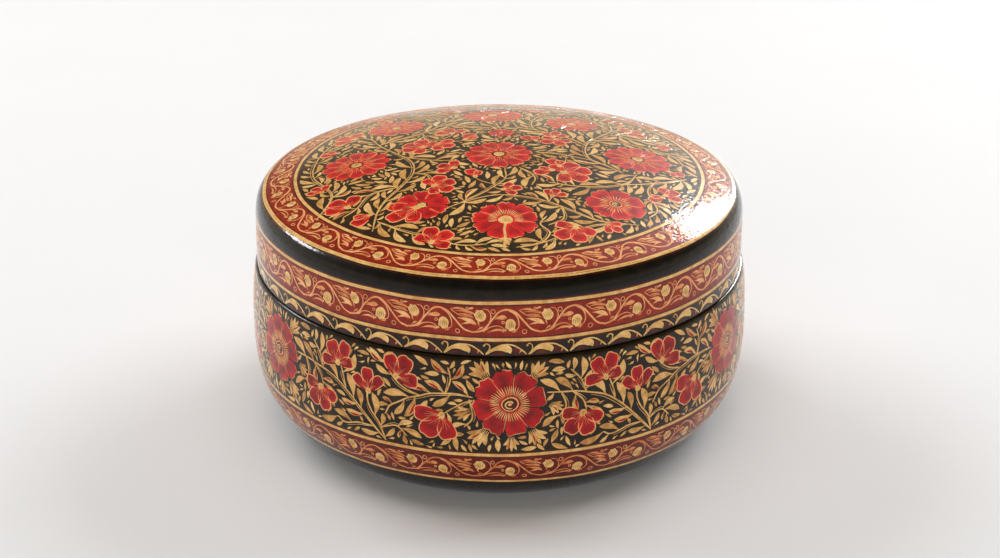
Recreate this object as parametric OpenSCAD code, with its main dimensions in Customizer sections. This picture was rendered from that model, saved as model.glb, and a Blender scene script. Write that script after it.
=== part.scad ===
// Round lidded papier mache box, painted and lacquered.
// A moulded body with a belly, a pasteboard base let into its foot, a pasteboard
// collar glued round the inside of the mouth, and a loose lid that drops over it.
// The origin is the middle of the foot, on the surface the box stands on, +Z up.

/* [Body] */
// Outer radius of the belly at its widest
belly_r = 63.9; // [50:0.1:80]
// Height of the widest part of the belly
belly_z = 28; // [24:0.1:32]
// Depth over which the belly's curve would close in to nothing
belly_drop = 35.2; // [34:0.1:44]
// Fullness of the belly's curve, where 2 is a plain ellipse
belly_power = 3; // [2.4:0.1:4]
// Height of the body's rim
rim_z = 42.8; // [38:0.1:55]
// How far the rim draws in from the belly
rim_in = 1.2; // [0.4:0.1:3]
// Thickness of the wall at the rim
rim_wall = 3.4; // [2.6:0.1:4.5]
// Rounding of the rim's outer edge
rim_edge = 0.6; // [0.3:0.1:1]

/* [Foot and base] */
// Rounding where the belly meets the table
foot_edge = 0.8; // [0.3:0.1:1.2]
// Thickness of the turned-in foot under the base
foot_t = 1.2; // [0.8:0.1:2]
// Width of the ledge that the base rests on
foot_ledge = 3.8; // [2:0.1:8]
// Wall left round the base disc
base_wall = 2.3; // [1.8:0.1:3.5]
// Thickness of the base disc
base_t = 3; // [2:0.1:4]

/* [Collar] */
// Wall of the collar
collar_t = 1.6; // [1:0.1:2.5]
// Height of the collar above the body's rim
collar_up = 7.2; // [4:0.1:10]
// Depth of the collar glued inside the body
collar_down = 12.4; // [6:0.1:14]
// Rounding of the collar's top edge
collar_edge = 0.45; // [0.2:0.05:0.5]
// Straight wall left below the collar, before the inside turns in
collar_margin = 0.4; // [0.2:0.1:3]

/* [Lid] */
// How far the lid's side stands in from the body's rim
lid_in = 0.5; // [0:0.1:0.7]
// Amount that the lid's side leans in towards the top
lid_lean = 0.2; // [0:0.1:0.8]
// Height of the lid from its lower edge to the middle of its top
lid_h = 27.5; // [25:0.1:40]
// Radius of the domed top
crown_curve = 217; // [180:1:280]
// Thickness of the domed top
crown_t = 3; // [2:0.1:4]
// How far the rounded shoulder runs in from the side
shoulder_in = 3.2; // [2:0.1:5]
// Height of the rounded shoulder
shoulder_up = 5.3; // [4:0.1:7]
// How far the inner corner runs in from the inside of the lid's wall
corner_in = 5; // [3:0.1:6]
// Height of the inner corner
corner_up = 5.6; // [4:0.1:7]
// Rounding of the lid's lower outer edge
lid_edge = 0.5; // [0.2:0.1:1]

/* [Fits] */
// Gap between the collar and the inside of the lid
lid_clearance = 0.3; // [0.2:0.05:0.6]

/* [Hidden] */
$fn = 128;
CURVE_STEPS = 24;
CORNER_STEPS = 12;
EDGE_STEPS = 4;
QUARTER = 90;

LACQUER = [0.16, 0.10, 0.05];
BLACK = [0.05, 0.04, 0.03];
BOARD = [0.45, 0.36, 0.25];

rim_r = belly_r - rim_in;
mouth_r = rim_r - rim_wall;
collar_in_r = mouth_r - collar_t;
collar_foot_z = rim_z - collar_down;
collar_top_z = rim_z + collar_up;
lid_r = rim_r - lid_in;
lid_top_r = lid_r - lid_lean;
lid_in_r = mouth_r + lid_clearance;
crown_z = rim_z + lid_h;

// Radius of a belly-like curve at a depth below its widest point
function belly(r, drop, below) = r * pow(1 - pow(below / drop, belly_power), 1 / belly_power);

// Outer radius of the body at height z
function body_out(z) =
    z < belly_z
        ? belly(belly_r, belly_drop, belly_z - z)
        : belly_r - rim_in * pow((z - belly_z) / (rim_z - belly_z), 2);

// The base disc lies on the foot's ledge, inside the wall at that height
foot_r = body_out(0);
base_r = body_out(foot_t) - base_wall;
foot_in_r = base_r - foot_ledge;
base_top_z = foot_t + base_t;

// The inside is straight where the collar is glued, then curves in to the base disc's edge
bowl_z = collar_foot_z - collar_margin;
bowl_drop = (bowl_z - base_top_z) / pow(1 - pow(base_r / mouth_r, belly_power), 1 / belly_power);

// Heights spaced evenly from one to another
function heights(from, to, steps) = [for (i = [0:steps]) from + (to - from) * i / steps];

// Points on an arc of an ellipse from one angle to another
function arc(cx, cz, rx, rz, from, to, steps) =
    [for (a = heights(from, to, steps)) [cx + rx * cos(a), cz + rz * sin(a)]];

// Height of a domed surface at radius r
function dome(top, curve, r) = top - curve + sqrt(curve * curve - r * r);

// Angle round an elliptical corner at which its slope is that of the dome beside it
function meet(curve, r, rx, rz) = atan2(sqrt(curve * curve - r * r) * rz, r * rx);

// Where the lid's rounded shoulder runs into the dome of its top
shoulder_a = meet(crown_curve, lid_top_r - shoulder_in, shoulder_in, shoulder_up);
dome_r = lid_top_r - shoulder_in * (1 - cos(shoulder_a));
shoulder_z = dome(crown_z, crown_curve, dome_r) - shoulder_up * sin(shoulder_a);

// The same for the corner and the dome inside the lid
under_curve = crown_curve - crown_t;
under_z = crown_z - crown_t;
corner_a = meet(under_curve, lid_in_r - corner_in, corner_in, corner_up);
under_r = lid_in_r - corner_in * (1 - cos(corner_a));
corner_z = dome(under_z, under_curve, under_r) - corner_up * sin(corner_a);

module body_shell() {
    color(LACQUER)
        rotate_extrude()
            polygon(concat(
                [[foot_in_r, 0], [foot_r - foot_edge / 2, 0]],
                [for (z = heights(foot_edge, belly_z, CURVE_STEPS)) [body_out(z), z]],
                [for (z = heights(belly_z + 1, rim_z - rim_edge, CORNER_STEPS)) [body_out(z), z]],
                arc(rim_r - rim_edge, rim_z - rim_edge, rim_edge, rim_edge, QUARTER / EDGE_STEPS, QUARTER,
                    EDGE_STEPS - 1),
                [[mouth_r, rim_z]],
                [for (z = heights(bowl_z, base_top_z, CURVE_STEPS)) [belly(mouth_r, bowl_drop, bowl_z - z), z]],
                [[base_r, foot_t], [foot_in_r, foot_t]]
            ));
}

module base_disc() {
    color(BOARD)
        translate([0, 0, foot_t])
            cylinder(r = base_r, h = base_t);
}

module collar() {
    color(BLACK)
        rotate_extrude()
            polygon(concat(
                [[collar_in_r, collar_foot_z], [mouth_r, collar_foot_z]],
                arc(mouth_r - collar_edge, collar_top_z - collar_edge, collar_edge, collar_edge,
                    0, QUARTER, EDGE_STEPS),
                arc(collar_in_r + collar_edge, collar_top_z - collar_edge, collar_edge, collar_edge,
                    QUARTER, 2 * QUARTER, EDGE_STEPS)
            ));
}

module lid_shell() {
    color(LACQUER)
        rotate_extrude()
            polygon(concat(
                [[lid_in_r, rim_z]],
                arc(lid_r - lid_edge, rim_z + lid_edge, lid_edge, lid_edge, -QUARTER, 0, EDGE_STEPS),
                arc(lid_top_r - shoulder_in, shoulder_z, shoulder_in, shoulder_up, 0, shoulder_a, CORNER_STEPS),
                [for (i = [1:CORNER_STEPS]) let (r = dome_r * (1 - i / CORNER_STEPS))
                    [r, dome(crown_z, crown_curve, r)]],
                [for (i = [0:CORNER_STEPS - 1]) let (r = under_r * i / CORNER_STEPS)
                    [r, dome(under_z, under_curve, r)]],
                arc(lid_in_r - corner_in, corner_z, corner_in, corner_up, corner_a, 0, CORNER_STEPS)
            ));
}

body_shell();
base_disc();
collar();
lid_shell();
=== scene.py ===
"""A round lidded papier mache box: its painted flowers, gilding and lacquer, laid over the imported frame."""

import logging
import math
from dataclasses import dataclass
from enum import Enum
from typing import Callable, Iterable, Protocol, Sequence

import bpy
import numpy as np
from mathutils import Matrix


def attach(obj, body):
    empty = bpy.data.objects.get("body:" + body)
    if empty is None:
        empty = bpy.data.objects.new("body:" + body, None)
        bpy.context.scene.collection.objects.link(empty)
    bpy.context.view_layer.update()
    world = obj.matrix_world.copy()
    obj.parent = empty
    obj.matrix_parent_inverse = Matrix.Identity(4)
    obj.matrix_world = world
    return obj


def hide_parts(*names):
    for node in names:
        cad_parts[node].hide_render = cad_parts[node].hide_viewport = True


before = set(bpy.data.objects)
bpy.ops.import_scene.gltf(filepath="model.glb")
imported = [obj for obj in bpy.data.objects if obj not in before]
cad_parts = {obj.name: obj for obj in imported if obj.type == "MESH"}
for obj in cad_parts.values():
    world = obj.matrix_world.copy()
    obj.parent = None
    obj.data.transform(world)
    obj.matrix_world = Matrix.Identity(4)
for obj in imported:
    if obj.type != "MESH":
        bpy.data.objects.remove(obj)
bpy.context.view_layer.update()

LOG = logging.getLogger("papier_mache_box")
MM = 0.001
TURN = 2 * math.pi
SIDE_R = 63.0
ROUND_SIDE = TURN * SIDE_R
MAP_ROWS = 6

Point = tuple[float, float]
Place = tuple[float, float, float]
Shade = tuple[float, float, float, float]
Socket = bpy.types.NodeSocket


def srgb(red: float, green: float, blue: float) -> Shade:
    """A colour given in 0 to 255, as the linear values that shaders take.

    Args:
        red: Red, 0 to 255.
        green: Green, 0 to 255.
        blue: Blue, 0 to 255.

    Returns:
        Linear red, green and blue, and an alpha of 1.
    """
    linear = [
        (c / 255 / 12.92) if c / 255 <= 0.04045 else ((c / 255 + 0.055) / 1.055) ** 2.4
        for c in (red, green, blue)
    ]
    return (*linear, 1.0)


class Lift(Enum):
    """Heights of the painter's coats above the ground, in mm. A later coat lies on an earlier one."""

    WASH = 0.02
    LEAF = 0.032
    STEM = 0.038
    PETAL = 0.048
    LINE = 0.064
    KNOT = 0.08


class Coat(Enum):
    """The paints on the box, each one mesh and one finish."""

    GOLD = "gold"
    ROSE_GOLD = "rose_gold"
    RED = "red"
    MAROON = "maroon"


@dataclass(frozen=True)
class BodySizes:
    """The body's turned form, in mm, as in the part's source."""

    belly_r: float = 63.9
    belly_z: float = 28.0
    belly_drop: float = 35.2
    belly_power: float = 3.0
    rim_z: float = 42.8
    rim_in: float = 1.2
    rim_wall: float = 3.4
    rim_edge: float = 0.6
    foot_edge: float = 0.8
    foot_t: float = 1.2
    foot_ledge: float = 3.8
    base_wall: float = 2.3
    base_t: float = 3.0
    collar_down: float = 12.4
    collar_margin: float = 0.4

    @property
    def rim_r(self) -> float:
        """Outer radius at the rim."""
        return self.belly_r - self.rim_in

    @property
    def mouth_r(self) -> float:
        """Inner radius of the straight upper part."""
        return self.rim_r - self.rim_wall

    def curve(self, radius: float, drop: float, below: float) -> float:
        """Radius of a belly curve.

        Args:
            radius: Radius at its widest.
            drop: Depth at which it closes.
            below: Depth below its widest.

        Returns:
            The radius there.
        """
        return radius * (1 - (below / drop) ** self.belly_power) ** (1 / self.belly_power)

    def outside(self, z: float) -> float:
        """Outer radius at height z.

        Args:
            z: Height above the table.

        Returns:
            The radius there.
        """
        if z < self.belly_z:
            return self.curve(self.belly_r, self.belly_drop, self.belly_z - z)
        return self.belly_r - self.rim_in * ((z - self.belly_z) / (self.rim_z - self.belly_z)) ** 2


@dataclass(frozen=True)
class LidSizes:
    """The lid's turned form, in mm, as in the part's source."""

    body: BodySizes = BodySizes()
    lid_in: float = 0.5
    lid_lean: float = 0.2
    lid_h: float = 27.5
    crown_curve: float = 217.0
    crown_t: float = 3.0
    shoulder_in: float = 3.2
    shoulder_up: float = 5.3
    corner_in: float = 5.0
    corner_up: float = 5.6
    lid_edge: float = 0.5
    clearance: float = 0.3

    @property
    def crown_z(self) -> float:
        """Height of the middle of the top."""
        return self.body.rim_z + self.lid_h

    @staticmethod
    def dome(top: float, curve: float, r: float) -> float:
        """Height of a dome at radius r.

        Args:
            top: Height of its middle.
            curve: Its radius of curvature.
            r: Distance from the axis.

        Returns:
            The height there.
        """
        return top - curve + math.sqrt(curve * curve - r * r)

    def corner(
        self, top: float, curve: float, edge_r: float, run: float, rise: float
    ) -> tuple[float, float, float]:
        """An elliptical corner that runs into a dome with one slope.

        Args:
            top: Height of the dome's middle.
            curve: The dome's radius of curvature.
            edge_r: Radius where the corner starts.
            run: How far it runs in.
            rise: How far it rises.

        Returns:
            The angle at which it ends, the radius there and the height at which it starts.
        """
        centre = edge_r - run
        angle = math.atan2(math.sqrt(curve * curve - centre * centre) * rise, centre * run)
        end_r = centre + run * math.cos(angle)
        return angle, end_r, self.dome(top, curve, end_r) - rise * math.sin(angle)


class Outline:
    """A turned outline: points from one end to the other, with lengths and normals along it."""

    SLOW_RISE = 0.035
    QUICK_RISE = 0.012
    EDGE_FADE = 3.0

    def __init__(self, points: Sequence[Point], step: float = 0.5) -> None:
        """Resamples an outline finely.

        Args:
            points: Radius and height of each corner or curve point, in mm.
            step: Longest distance between two points.
        """
        rows = [np.array(points[0], float)]
        for a, b in zip(points[:-1], points[1:]):
            count = max(1, math.ceil(math.dist(a, b) / step))
            rows += [np.array(a) + (np.array(b) - np.array(a)) * i / count for i in range(1, count + 1)]
        self.points = np.array(rows)
        gaps = np.linalg.norm(np.diff(self.points, axis=0), axis=1)
        self.lengths = np.concatenate([[0.0], np.cumsum(gaps)])
        tangent = np.gradient(self.points, axis=0)
        tangent /= np.linalg.norm(tangent, axis=1, keepdims=True)
        self.normals = np.stack([tangent[:, 1], -tangent[:, 0]], 1)

    @staticmethod
    def row_lengths(rows: Sequence[Point], others: int) -> list[float]:
        """Lengths along an outline at its own rows.

        Args:
            rows: The outline's rows.
            others: How many rows without a length follow.

        Returns:
            A length for each row, and 0 for each of the others.
        """
        gaps = [math.dist(a, b) for a, b in zip(rows[:-1], rows[1:])]
        return [0.0, *(float(s) for s in np.cumsum(gaps)), *([0.0] * others)]

    def length_at_z(self, z: float) -> float:
        """Length along the outline at height z, for an outline that only climbs."""
        return float(np.interp(z, self.points[:, 1], self.lengths))

    def length_at_r(self, r: np.ndarray) -> np.ndarray:
        """Lengths along the outline past its widest point.

        Args:
            r: Distances from the axis, in mm.

        Returns:
            The length at each.
        """
        widest = int(np.argmax(self.points[:, 0] - 1e-6 * self.lengths))
        radii = self.points[widest:, 0][::-1]
        return np.interp(r, radii, self.lengths[widest:][::-1])

    def at(self, length: np.ndarray) -> tuple[np.ndarray, np.ndarray, np.ndarray, np.ndarray]:
        """Places on the outline.

        Args:
            length: Lengths along it, in mm.

        Returns:
            Radius, height and the normal's two parts at each.
        """
        columns = (self.points[:, 0], self.points[:, 1], self.normals[:, 0], self.normals[:, 1])
        r, z, nr, nz = (np.interp(length, self.lengths, column) for column in columns)
        size = np.hypot(nr, nz)
        return r, z, nr / size, nz / size

    def unevenness(self, angle: np.ndarray, length: np.ndarray) -> np.ndarray:
        """The slight unevenness of layered paper, filled and rubbed down by hand.

        It dies away at both ends of the outline, so that edges stay where they are.

        Args:
            angle: Angle round the box.
            length: Length along the outline, in mm.

        Returns:
            How far the surface stands out there, in mm.
        """
        slow = np.sin(3 * angle + length / 17) + 0.7 * np.sin(5 * angle - length / 11 + 1.3)
        quick = np.sin(17 * angle + length / 2.9) * np.sin(length / 3.7 + 4 * angle)
        ends = np.clip(np.minimum(length, self.lengths[-1] - length) / self.EDGE_FADE, 0, 1)
        return (self.SLOW_RISE * slow + self.QUICK_RISE * quick) * ends


class Surface:
    """A turned surface that flat brushwork is laid on."""

    def __init__(self, outline: Outline) -> None:
        """Keeps the outline of the form that carries the paint."""
        self.outline = outline

    def polar(self, flat: np.ndarray) -> tuple[np.ndarray, np.ndarray]:
        """Angle round the box and length along the outline of flat points."""
        raise NotImplementedError

    def lay(self, flat: np.ndarray) -> np.ndarray:
        """Lays flat points on the form.

        Args:
            flat: Two flat coordinates and a height for each point, in mm.

        Returns:
            Places in the row frame, in metres.
        """
        angle, length = self.polar(flat)
        r, z, nr, nz = self.outline.at(length)
        lift = flat[:, 2] + self.outline.unevenness(angle, length)
        r = r + nr * lift
        return np.stack([r * np.sin(angle), -r * np.cos(angle), z + nz * lift], 1) * MM

    def normals(self, flat: np.ndarray) -> np.ndarray:
        """The form's own normals, which keep the paint's gloss in one with the ground's.

        Args:
            flat: Flat points.

        Returns:
            The normal under each.
        """
        angle, length = self.polar(flat)
        _, _, nr, nz = self.outline.at(length)
        return np.stack([nr * np.sin(angle), -nr * np.cos(angle), nz], 1)


class SideSurface(Surface):
    """The side of the body or of the lid: across is the distance round, up is the length climbed."""

    def __init__(self, outline: Outline, up_at: float, z_at: float) -> None:
        """Ties the flat layout to the form.

        Args:
            outline: The form's outline, climbing.
            up_at: A flat height.
            z_at: The real height that it lies at.
        """
        super().__init__(outline)
        self.shift = outline.length_at_z(z_at) - up_at

    def polar(self, flat: np.ndarray) -> tuple[np.ndarray, np.ndarray]:
        """Angle and length of flat points."""
        return flat[:, 0] / SIDE_R, flat[:, 1] + self.shift


class TopSurface(Surface):
    """The top of the lid, seen from above: across is right, up is back."""

    def polar(self, flat: np.ndarray) -> tuple[np.ndarray, np.ndarray]:
        """Angle and length of flat points."""
        angle = np.arctan2(flat[:, 0], -flat[:, 1])
        return angle, self.outline.length_at_r(np.hypot(flat[:, 0], flat[:, 1]))


class TopRingSurface(Surface):
    """A band round the top of the lid: across is the distance round, up is inwards."""

    def __init__(self, outline: Outline, middle_r: float) -> None:
        """Keeps the radius of the band's middle line."""
        super().__init__(outline)
        self.middle_r = middle_r

    def polar(self, flat: np.ndarray) -> tuple[np.ndarray, np.ndarray]:
        """Angle and length of flat points."""
        return flat[:, 0] / self.middle_r, self.outline.length_at_r(self.middle_r - flat[:, 1])


def spline(points: Sequence[Point], steps: int = 6) -> np.ndarray:
    """A smooth line through points, by a Catmull-Rom curve.

    Args:
        points: Flat points that the line passes through.
        steps: Pieces between two points.

    Returns:
        The line's points.
    """
    p = np.array(points, float)
    p = np.vstack([2 * p[0] - p[1], p, 2 * p[-1] - p[-2]])
    t = np.linspace(0, 1, steps, endpoint=False)[:, None]
    runs = [
        0.5 * ((2 * b) + (c - a) * t + (2 * a - 5 * b + 4 * c - d) * t**2 + (3 * b - a - 3 * c + d) * t**3)
        for a, b, c, d in zip(p[:-3], p[1:-2], p[2:-1], p[3:])
    ]
    return np.vstack([*runs, p[-2:-1]])


def turned(points: np.ndarray, angle: float, place: Sequence[float], scale: float = 1.0) -> np.ndarray:
    """Points turned, scaled and moved.

    Args:
        points: Flat points round their own origin.
        angle: Turn, counted from the first axis.
        place: Where the origin goes.
        scale: Size factor.

    Returns:
        The moved points.
    """
    c, s = math.cos(angle), math.sin(angle)
    return np.asarray(points) @ np.array([[c, s], [-s, c]]) * scale + np.asarray(place)


class Taper(Enum):
    """How a brush stroke swells and thins from start to end."""

    LEAF = "leaf"
    BROAD_TIP = "broad_tip"
    DROP = "drop"
    TAIL = "tail"
    EVEN = "even"

    def shares(self, count: int) -> np.ndarray:
        """How wide a stroke is along its length.

        Args:
            count: How many points it has.

        Returns:
            Share of the full width at each point.
        """
        t = np.linspace(0, 1, count)
        if self is Taper.LEAF:
            return np.maximum(np.sin(math.pi * t**0.85) ** 0.85, 0.05)
        if self is Taper.BROAD_TIP:
            return np.maximum(np.sin(math.pi * t**1.6) ** 0.8, 0.09)
        if self is Taper.DROP:
            return np.maximum(np.sin(math.pi * t**1.9) ** 0.75, 0.06)
        if self is Taper.TAIL:
            swell = np.sin(math.pi * np.clip(0.28 + 0.72 * (1 - t), 0, 1) * 0.5 + 0.1) ** 2
            return 0.3 + 0.7 * swell * (1 - 0.75 * t)
        return np.clip(np.minimum(t, 1 - t) * count / 1.2, 0.35, 1)


class BrushWork:
    """Brush strokes of one paint, kept flat until they are laid on a form."""

    EDGES = np.array([-0.5, -0.36, 0.36, 0.5])
    RINGS = (1.0, 0.9, 0.5)
    SUNK = -0.04

    def __init__(self) -> None:
        """Starts with no strokes."""
        self.vertices: list[np.ndarray] = []
        self.tones: list[np.ndarray] = []
        self.quads: list[np.ndarray] = []
        self.triangles: list[np.ndarray] = []
        self.count = 0

    def add(
        self, vertices: np.ndarray, tone: np.ndarray | float, quads: np.ndarray, triangles: np.ndarray
    ) -> None:
        """Adds one piece of mesh.

        Args:
            vertices: Flat places and heights.
            tone: Shade of each vertex, 0 to 1.
            quads: Four-cornered faces, or none.
            triangles: Three-cornered faces, or none.
        """
        self.vertices.append(vertices)
        self.tones.append(np.broadcast_to(tone, len(vertices)).astype(float))
        if len(quads):
            self.quads.append(quads + self.count)
        if len(triangles):
            self.triangles.append(triangles + self.count)
        self.count += len(vertices)

    def stroke(
        self,
        line: np.ndarray,
        width: float,
        lift: Lift,
        taper: Taper = Taper.EVEN,
        tone: float = 0.5,
        closed: bool = False,
    ) -> None:
        """One pull of the brush along a line.

        Args:
            line: Flat points.
            width: Full width, in mm.
            lift: The coat that it belongs to.
            taper: How it swells and thins.
            tone: Shade, 0 to 1.
            closed: Whether its ends meet.
        """
        count = len(line)
        if closed:
            step = np.roll(line, -1, 0) - np.roll(line, 1, 0)
            share = np.ones(count)
        else:
            step = np.gradient(line, axis=0)
            share = taper.shares(count)
        step = step / np.maximum(np.linalg.norm(step, axis=1, keepdims=True), 1e-9)
        across = np.stack([-step[:, 1], step[:, 0]], 1) * (share * width)[:, None]
        rows = line[:, None, :] + across[:, None, :] * self.EDGES[None, :, None]
        heights = np.array([self.SUNK, lift.value, lift.value, self.SUNK])
        heights = np.broadcast_to(heights, (count, 4))
        vertices = np.concatenate([rows, heights[:, :, None]], 2).reshape(-1, 3)
        first = np.arange(count if closed else count - 1)
        after = (first + 1) % count
        quads = [
            np.stack([first * 4 + k, first * 4 + k + 1, after * 4 + k + 1, after * 4 + k], 1)
            for k in range(3)
        ]
        self.add(vertices, tone, np.vstack(quads)[:, ::-1], np.empty((0, 3), int))

    def wash(self, edge: np.ndarray, middle: Sequence[float], lift: Lift, tone: float = 0.5) -> None:
        """One filled patch, seen whole from its middle.

        Args:
            edge: Points round it, either way.
            middle: The point that it is filled from.
            lift: The coat that it belongs to.
            tone: Shade at its edge, which deepens to its middle.
        """
        count = len(edge)
        after_edge = np.roll(edge, -1, 0)
        if (edge[:, 0] * after_edge[:, 1] - edge[:, 1] * after_edge[:, 0]).sum() < 0:
            edge = edge[::-1]
        middle = np.asarray(middle, float)
        rings = [middle + (edge - middle) * share for share in self.RINGS]
        heights = (self.SUNK, lift.value, lift.value)
        rows = [np.column_stack([ring, np.full(count, h)]) for ring, h in zip(rings, heights)]
        vertices = np.vstack([*rows, [[*middle, lift.value]]])
        shades = np.repeat([tone, tone, tone * 0.55], count)
        first = np.arange(count)
        after = (first + 1) % count
        quads = [
            np.stack([first + k, after + k, after + k + count, first + k + count], 1) for k in (0, count)
        ]
        fan = np.stack([first + 2 * count, after + 2 * count, np.full(count, 3 * count)], 1)
        self.add(vertices, np.append(shades, tone * 0.3), np.vstack(quads), fan)

    def repeated(self, offsets: Iterable[float]) -> "BrushWork":
        """The same brushwork repeated side by side.

        Args:
            offsets: Distances of the copies along the first flat axis.

        Returns:
            All the copies as one brushwork.
        """
        flat = self.flat()
        tones = self.all_tones()
        quads = self.all_quads()
        triangles = self.all_triangles()
        whole = BrushWork()
        for offset in offsets:
            whole.add(flat + np.array([offset, 0.0, 0.0]), tones, quads, triangles)
        return whole

    def all_tones(self) -> np.ndarray:
        """The shades of all vertices."""
        return np.concatenate(self.tones)

    def flat(self) -> np.ndarray:
        """All flat vertices."""
        return np.vstack(self.vertices) if self.vertices else np.empty((0, 3))

    def all_quads(self) -> np.ndarray:
        """All four-cornered faces."""
        return np.vstack(self.quads) if self.quads else np.empty((0, 4), int)

    def all_triangles(self) -> np.ndarray:
        """All three-cornered faces."""
        return np.vstack(self.triangles) if self.triangles else np.empty((0, 3), int)


class NodeBench:
    """A short way to wire a material's nodes."""

    def __init__(self, name: str) -> None:
        """Makes a material with one lacquered shader.

        Args:
            name: The material's name.
        """
        self.material = bpy.data.materials.new(name)
        self.material.use_nodes = True
        self.tree = self.material.node_tree
        self.shader = self.tree.nodes["Principled BSDF"]
        self.place = self.tree.nodes.new("ShaderNodeTexCoord").outputs["Object"]

    def wire(self, source: Socket, target: Socket) -> None:
        """Joins two sockets."""
        self.tree.links.new(source, target)

    def noise(self, per_mm: float, detail: float = 3.0) -> Socket:
        """A cloudy value from 0 to 1.

        Args:
            per_mm: Clouds in a millimetre.
            detail: How many finer layers it has.

        Returns:
            The socket that gives it.
        """
        node = self.tree.nodes.new("ShaderNodeTexNoise")
        node.inputs["Scale"].default_value = per_mm / MM
        node.inputs["Detail"].default_value = detail
        self.wire(self.place, node.inputs["Vector"])
        return node.outputs["Fac"]

    def tone(self) -> Socket:
        """The shade that each brush stroke carries.

        Returns:
            The socket that gives it.
        """
        node = self.tree.nodes.new("ShaderNodeAttribute")
        node.attribute_name = "tone"
        return node.outputs["Fac"]

    def spread(self, value: Socket, low: float, high: float, to: Point) -> Socket:
        """A value stretched from one range to another.

        Args:
            value: The value.
            low: Start of its range.
            high: End of its range.
            to: The range it is stretched to.

        Returns:
            The stretched value, kept inside its new range.
        """
        node = self.tree.nodes.new("ShaderNodeMapRange")
        node.inputs["From Min"].default_value = low
        node.inputs["From Max"].default_value = high
        node.inputs["To Min"].default_value = to[0]
        node.inputs["To Max"].default_value = to[1]
        self.wire(value, node.inputs["Value"])
        return node.outputs["Result"]

    def sum(self, one: Socket, other: Socket, share: float) -> Socket:
        """One value and a share of another.

        Args:
            one: The first value.
            other: The second value.
            share: How much of the second is added.

        Returns:
            The sum.
        """
        node = self.tree.nodes.new("ShaderNodeMath")
        node.operation = "MULTIPLY_ADD"
        node.inputs[1].default_value = share
        self.wire(other, node.inputs[0])
        self.wire(one, node.inputs[2])
        return node.outputs["Value"]

    def ramp(self, value: Socket, stops: Sequence[tuple[float, Shade]]) -> Socket:
        """A colour chosen by a value.

        Args:
            value: The value.
            stops: Each place on the ramp and its linear colour.

        Returns:
            The colour.
        """
        node = self.tree.nodes.new("ShaderNodeValToRGB")
        while len(node.color_ramp.elements) < len(stops):
            node.color_ramp.elements.new(0.5)
        for element, (place, colour) in zip(node.color_ramp.elements, stops):
            element.position = place
            element.color = colour
        self.wire(value, node.inputs["Fac"])
        return node.outputs["Color"]

    def relief(self, heights: Sequence[tuple[Socket, float]]) -> Socket:
        """Fine unevenness.

        Args:
            heights: Values and the depth of each, in mm.

        Returns:
            The bent normal.
        """
        normal = None
        for value, depth in heights:
            node = self.tree.nodes.new("ShaderNodeBump")
            node.inputs["Strength"].default_value = 1.0
            node.inputs["Distance"].default_value = depth * MM
            self.wire(value, node.inputs["Height"])
            if normal is not None:
                self.wire(normal, node.inputs["Normal"])
            normal = node.outputs["Normal"]
        return normal

    def set(self, numbers: dict[str, float]) -> None:
        """Sets the shader's own numbers, by their sockets' names."""
        for name, number in numbers.items():
            self.shader.inputs[name].default_value = number


@dataclass(frozen=True)
class Lacquer:
    """The clear coat over everything painted, with the depths and spacing of its unevenness in mm."""

    weight: float = 1.0
    roughness: float = 0.06
    bending: float = 1.32
    under_gloss: float = 0.1
    ripple: float = 0.06
    ripples_per_mm: float = 0.42
    pits: float = 0.04
    pits_per_mm: float = 1.1

    def cover(self, bench: NodeBench) -> None:
        """Lays the clear coat over a finish.

        Args:
            bench: The finish's nodes.
        """
        bench.set({
            "Coat Weight": self.weight,
            "Coat Roughness": self.roughness,
            "Coat IOR": self.bending,
            "Specular IOR Level": self.under_gloss,
        })
        ripple = bench.noise(self.ripples_per_mm, 2.0)
        pits = bench.noise(self.pits_per_mm)
        bent = bench.relief([(ripple, self.ripple), (pits, self.pits)])
        bench.wire(bent, bench.shader.inputs["Coat Normal"])
        bench.wire(bent, bench.shader.inputs["Normal"])


@dataclass(frozen=True)
class Finish:
    """A painted finish: a mottled colour in a few shades, under lacquer.

    The clouds and the grain are counted in a millimetre. A toned finish follows the shade of each stroke.
    """

    name: str
    dark: Shade
    middle: Shade
    light: Shade
    clouds: float = 0.35
    grain: float = 2.2
    toned: float = 0.0
    metal: float = 0.0
    roughness: float = 0.5
    mottle: float = 1.0
    lacquer: Lacquer = Lacquer()

    def material(self) -> bpy.types.Material:
        """Builds the finish's material.

        Returns:
            The material.
        """
        bench = NodeBench(self.name)
        middle = 0.5 - 0.2 * self.mottle
        reach = 0.3 * self.mottle
        cloudy = bench.spread(bench.noise(self.clouds), 0.3, 0.7, (middle - reach, middle + reach))
        shade = bench.sum(cloudy, bench.noise(self.grain), 0.4 * self.mottle)
        if self.toned:
            centred = bench.spread(bench.tone(), 0.0, 1.0, (-0.5, 0.5))
            shade = bench.sum(shade, centred, self.toned)
        colour = bench.ramp(shade, [(0.18, self.dark), (0.5, self.middle), (0.85, self.light)])
        bench.wire(colour, bench.shader.inputs["Base Color"])
        rough = bench.spread(bench.noise(1.1), 0.3, 0.7, (self.roughness - 0.08, self.roughness + 0.1))
        bench.wire(rough, bench.shader.inputs["Roughness"])
        bench.set({"Metallic": self.metal})
        self.lacquer.cover(bench)
        return bench.material


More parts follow.
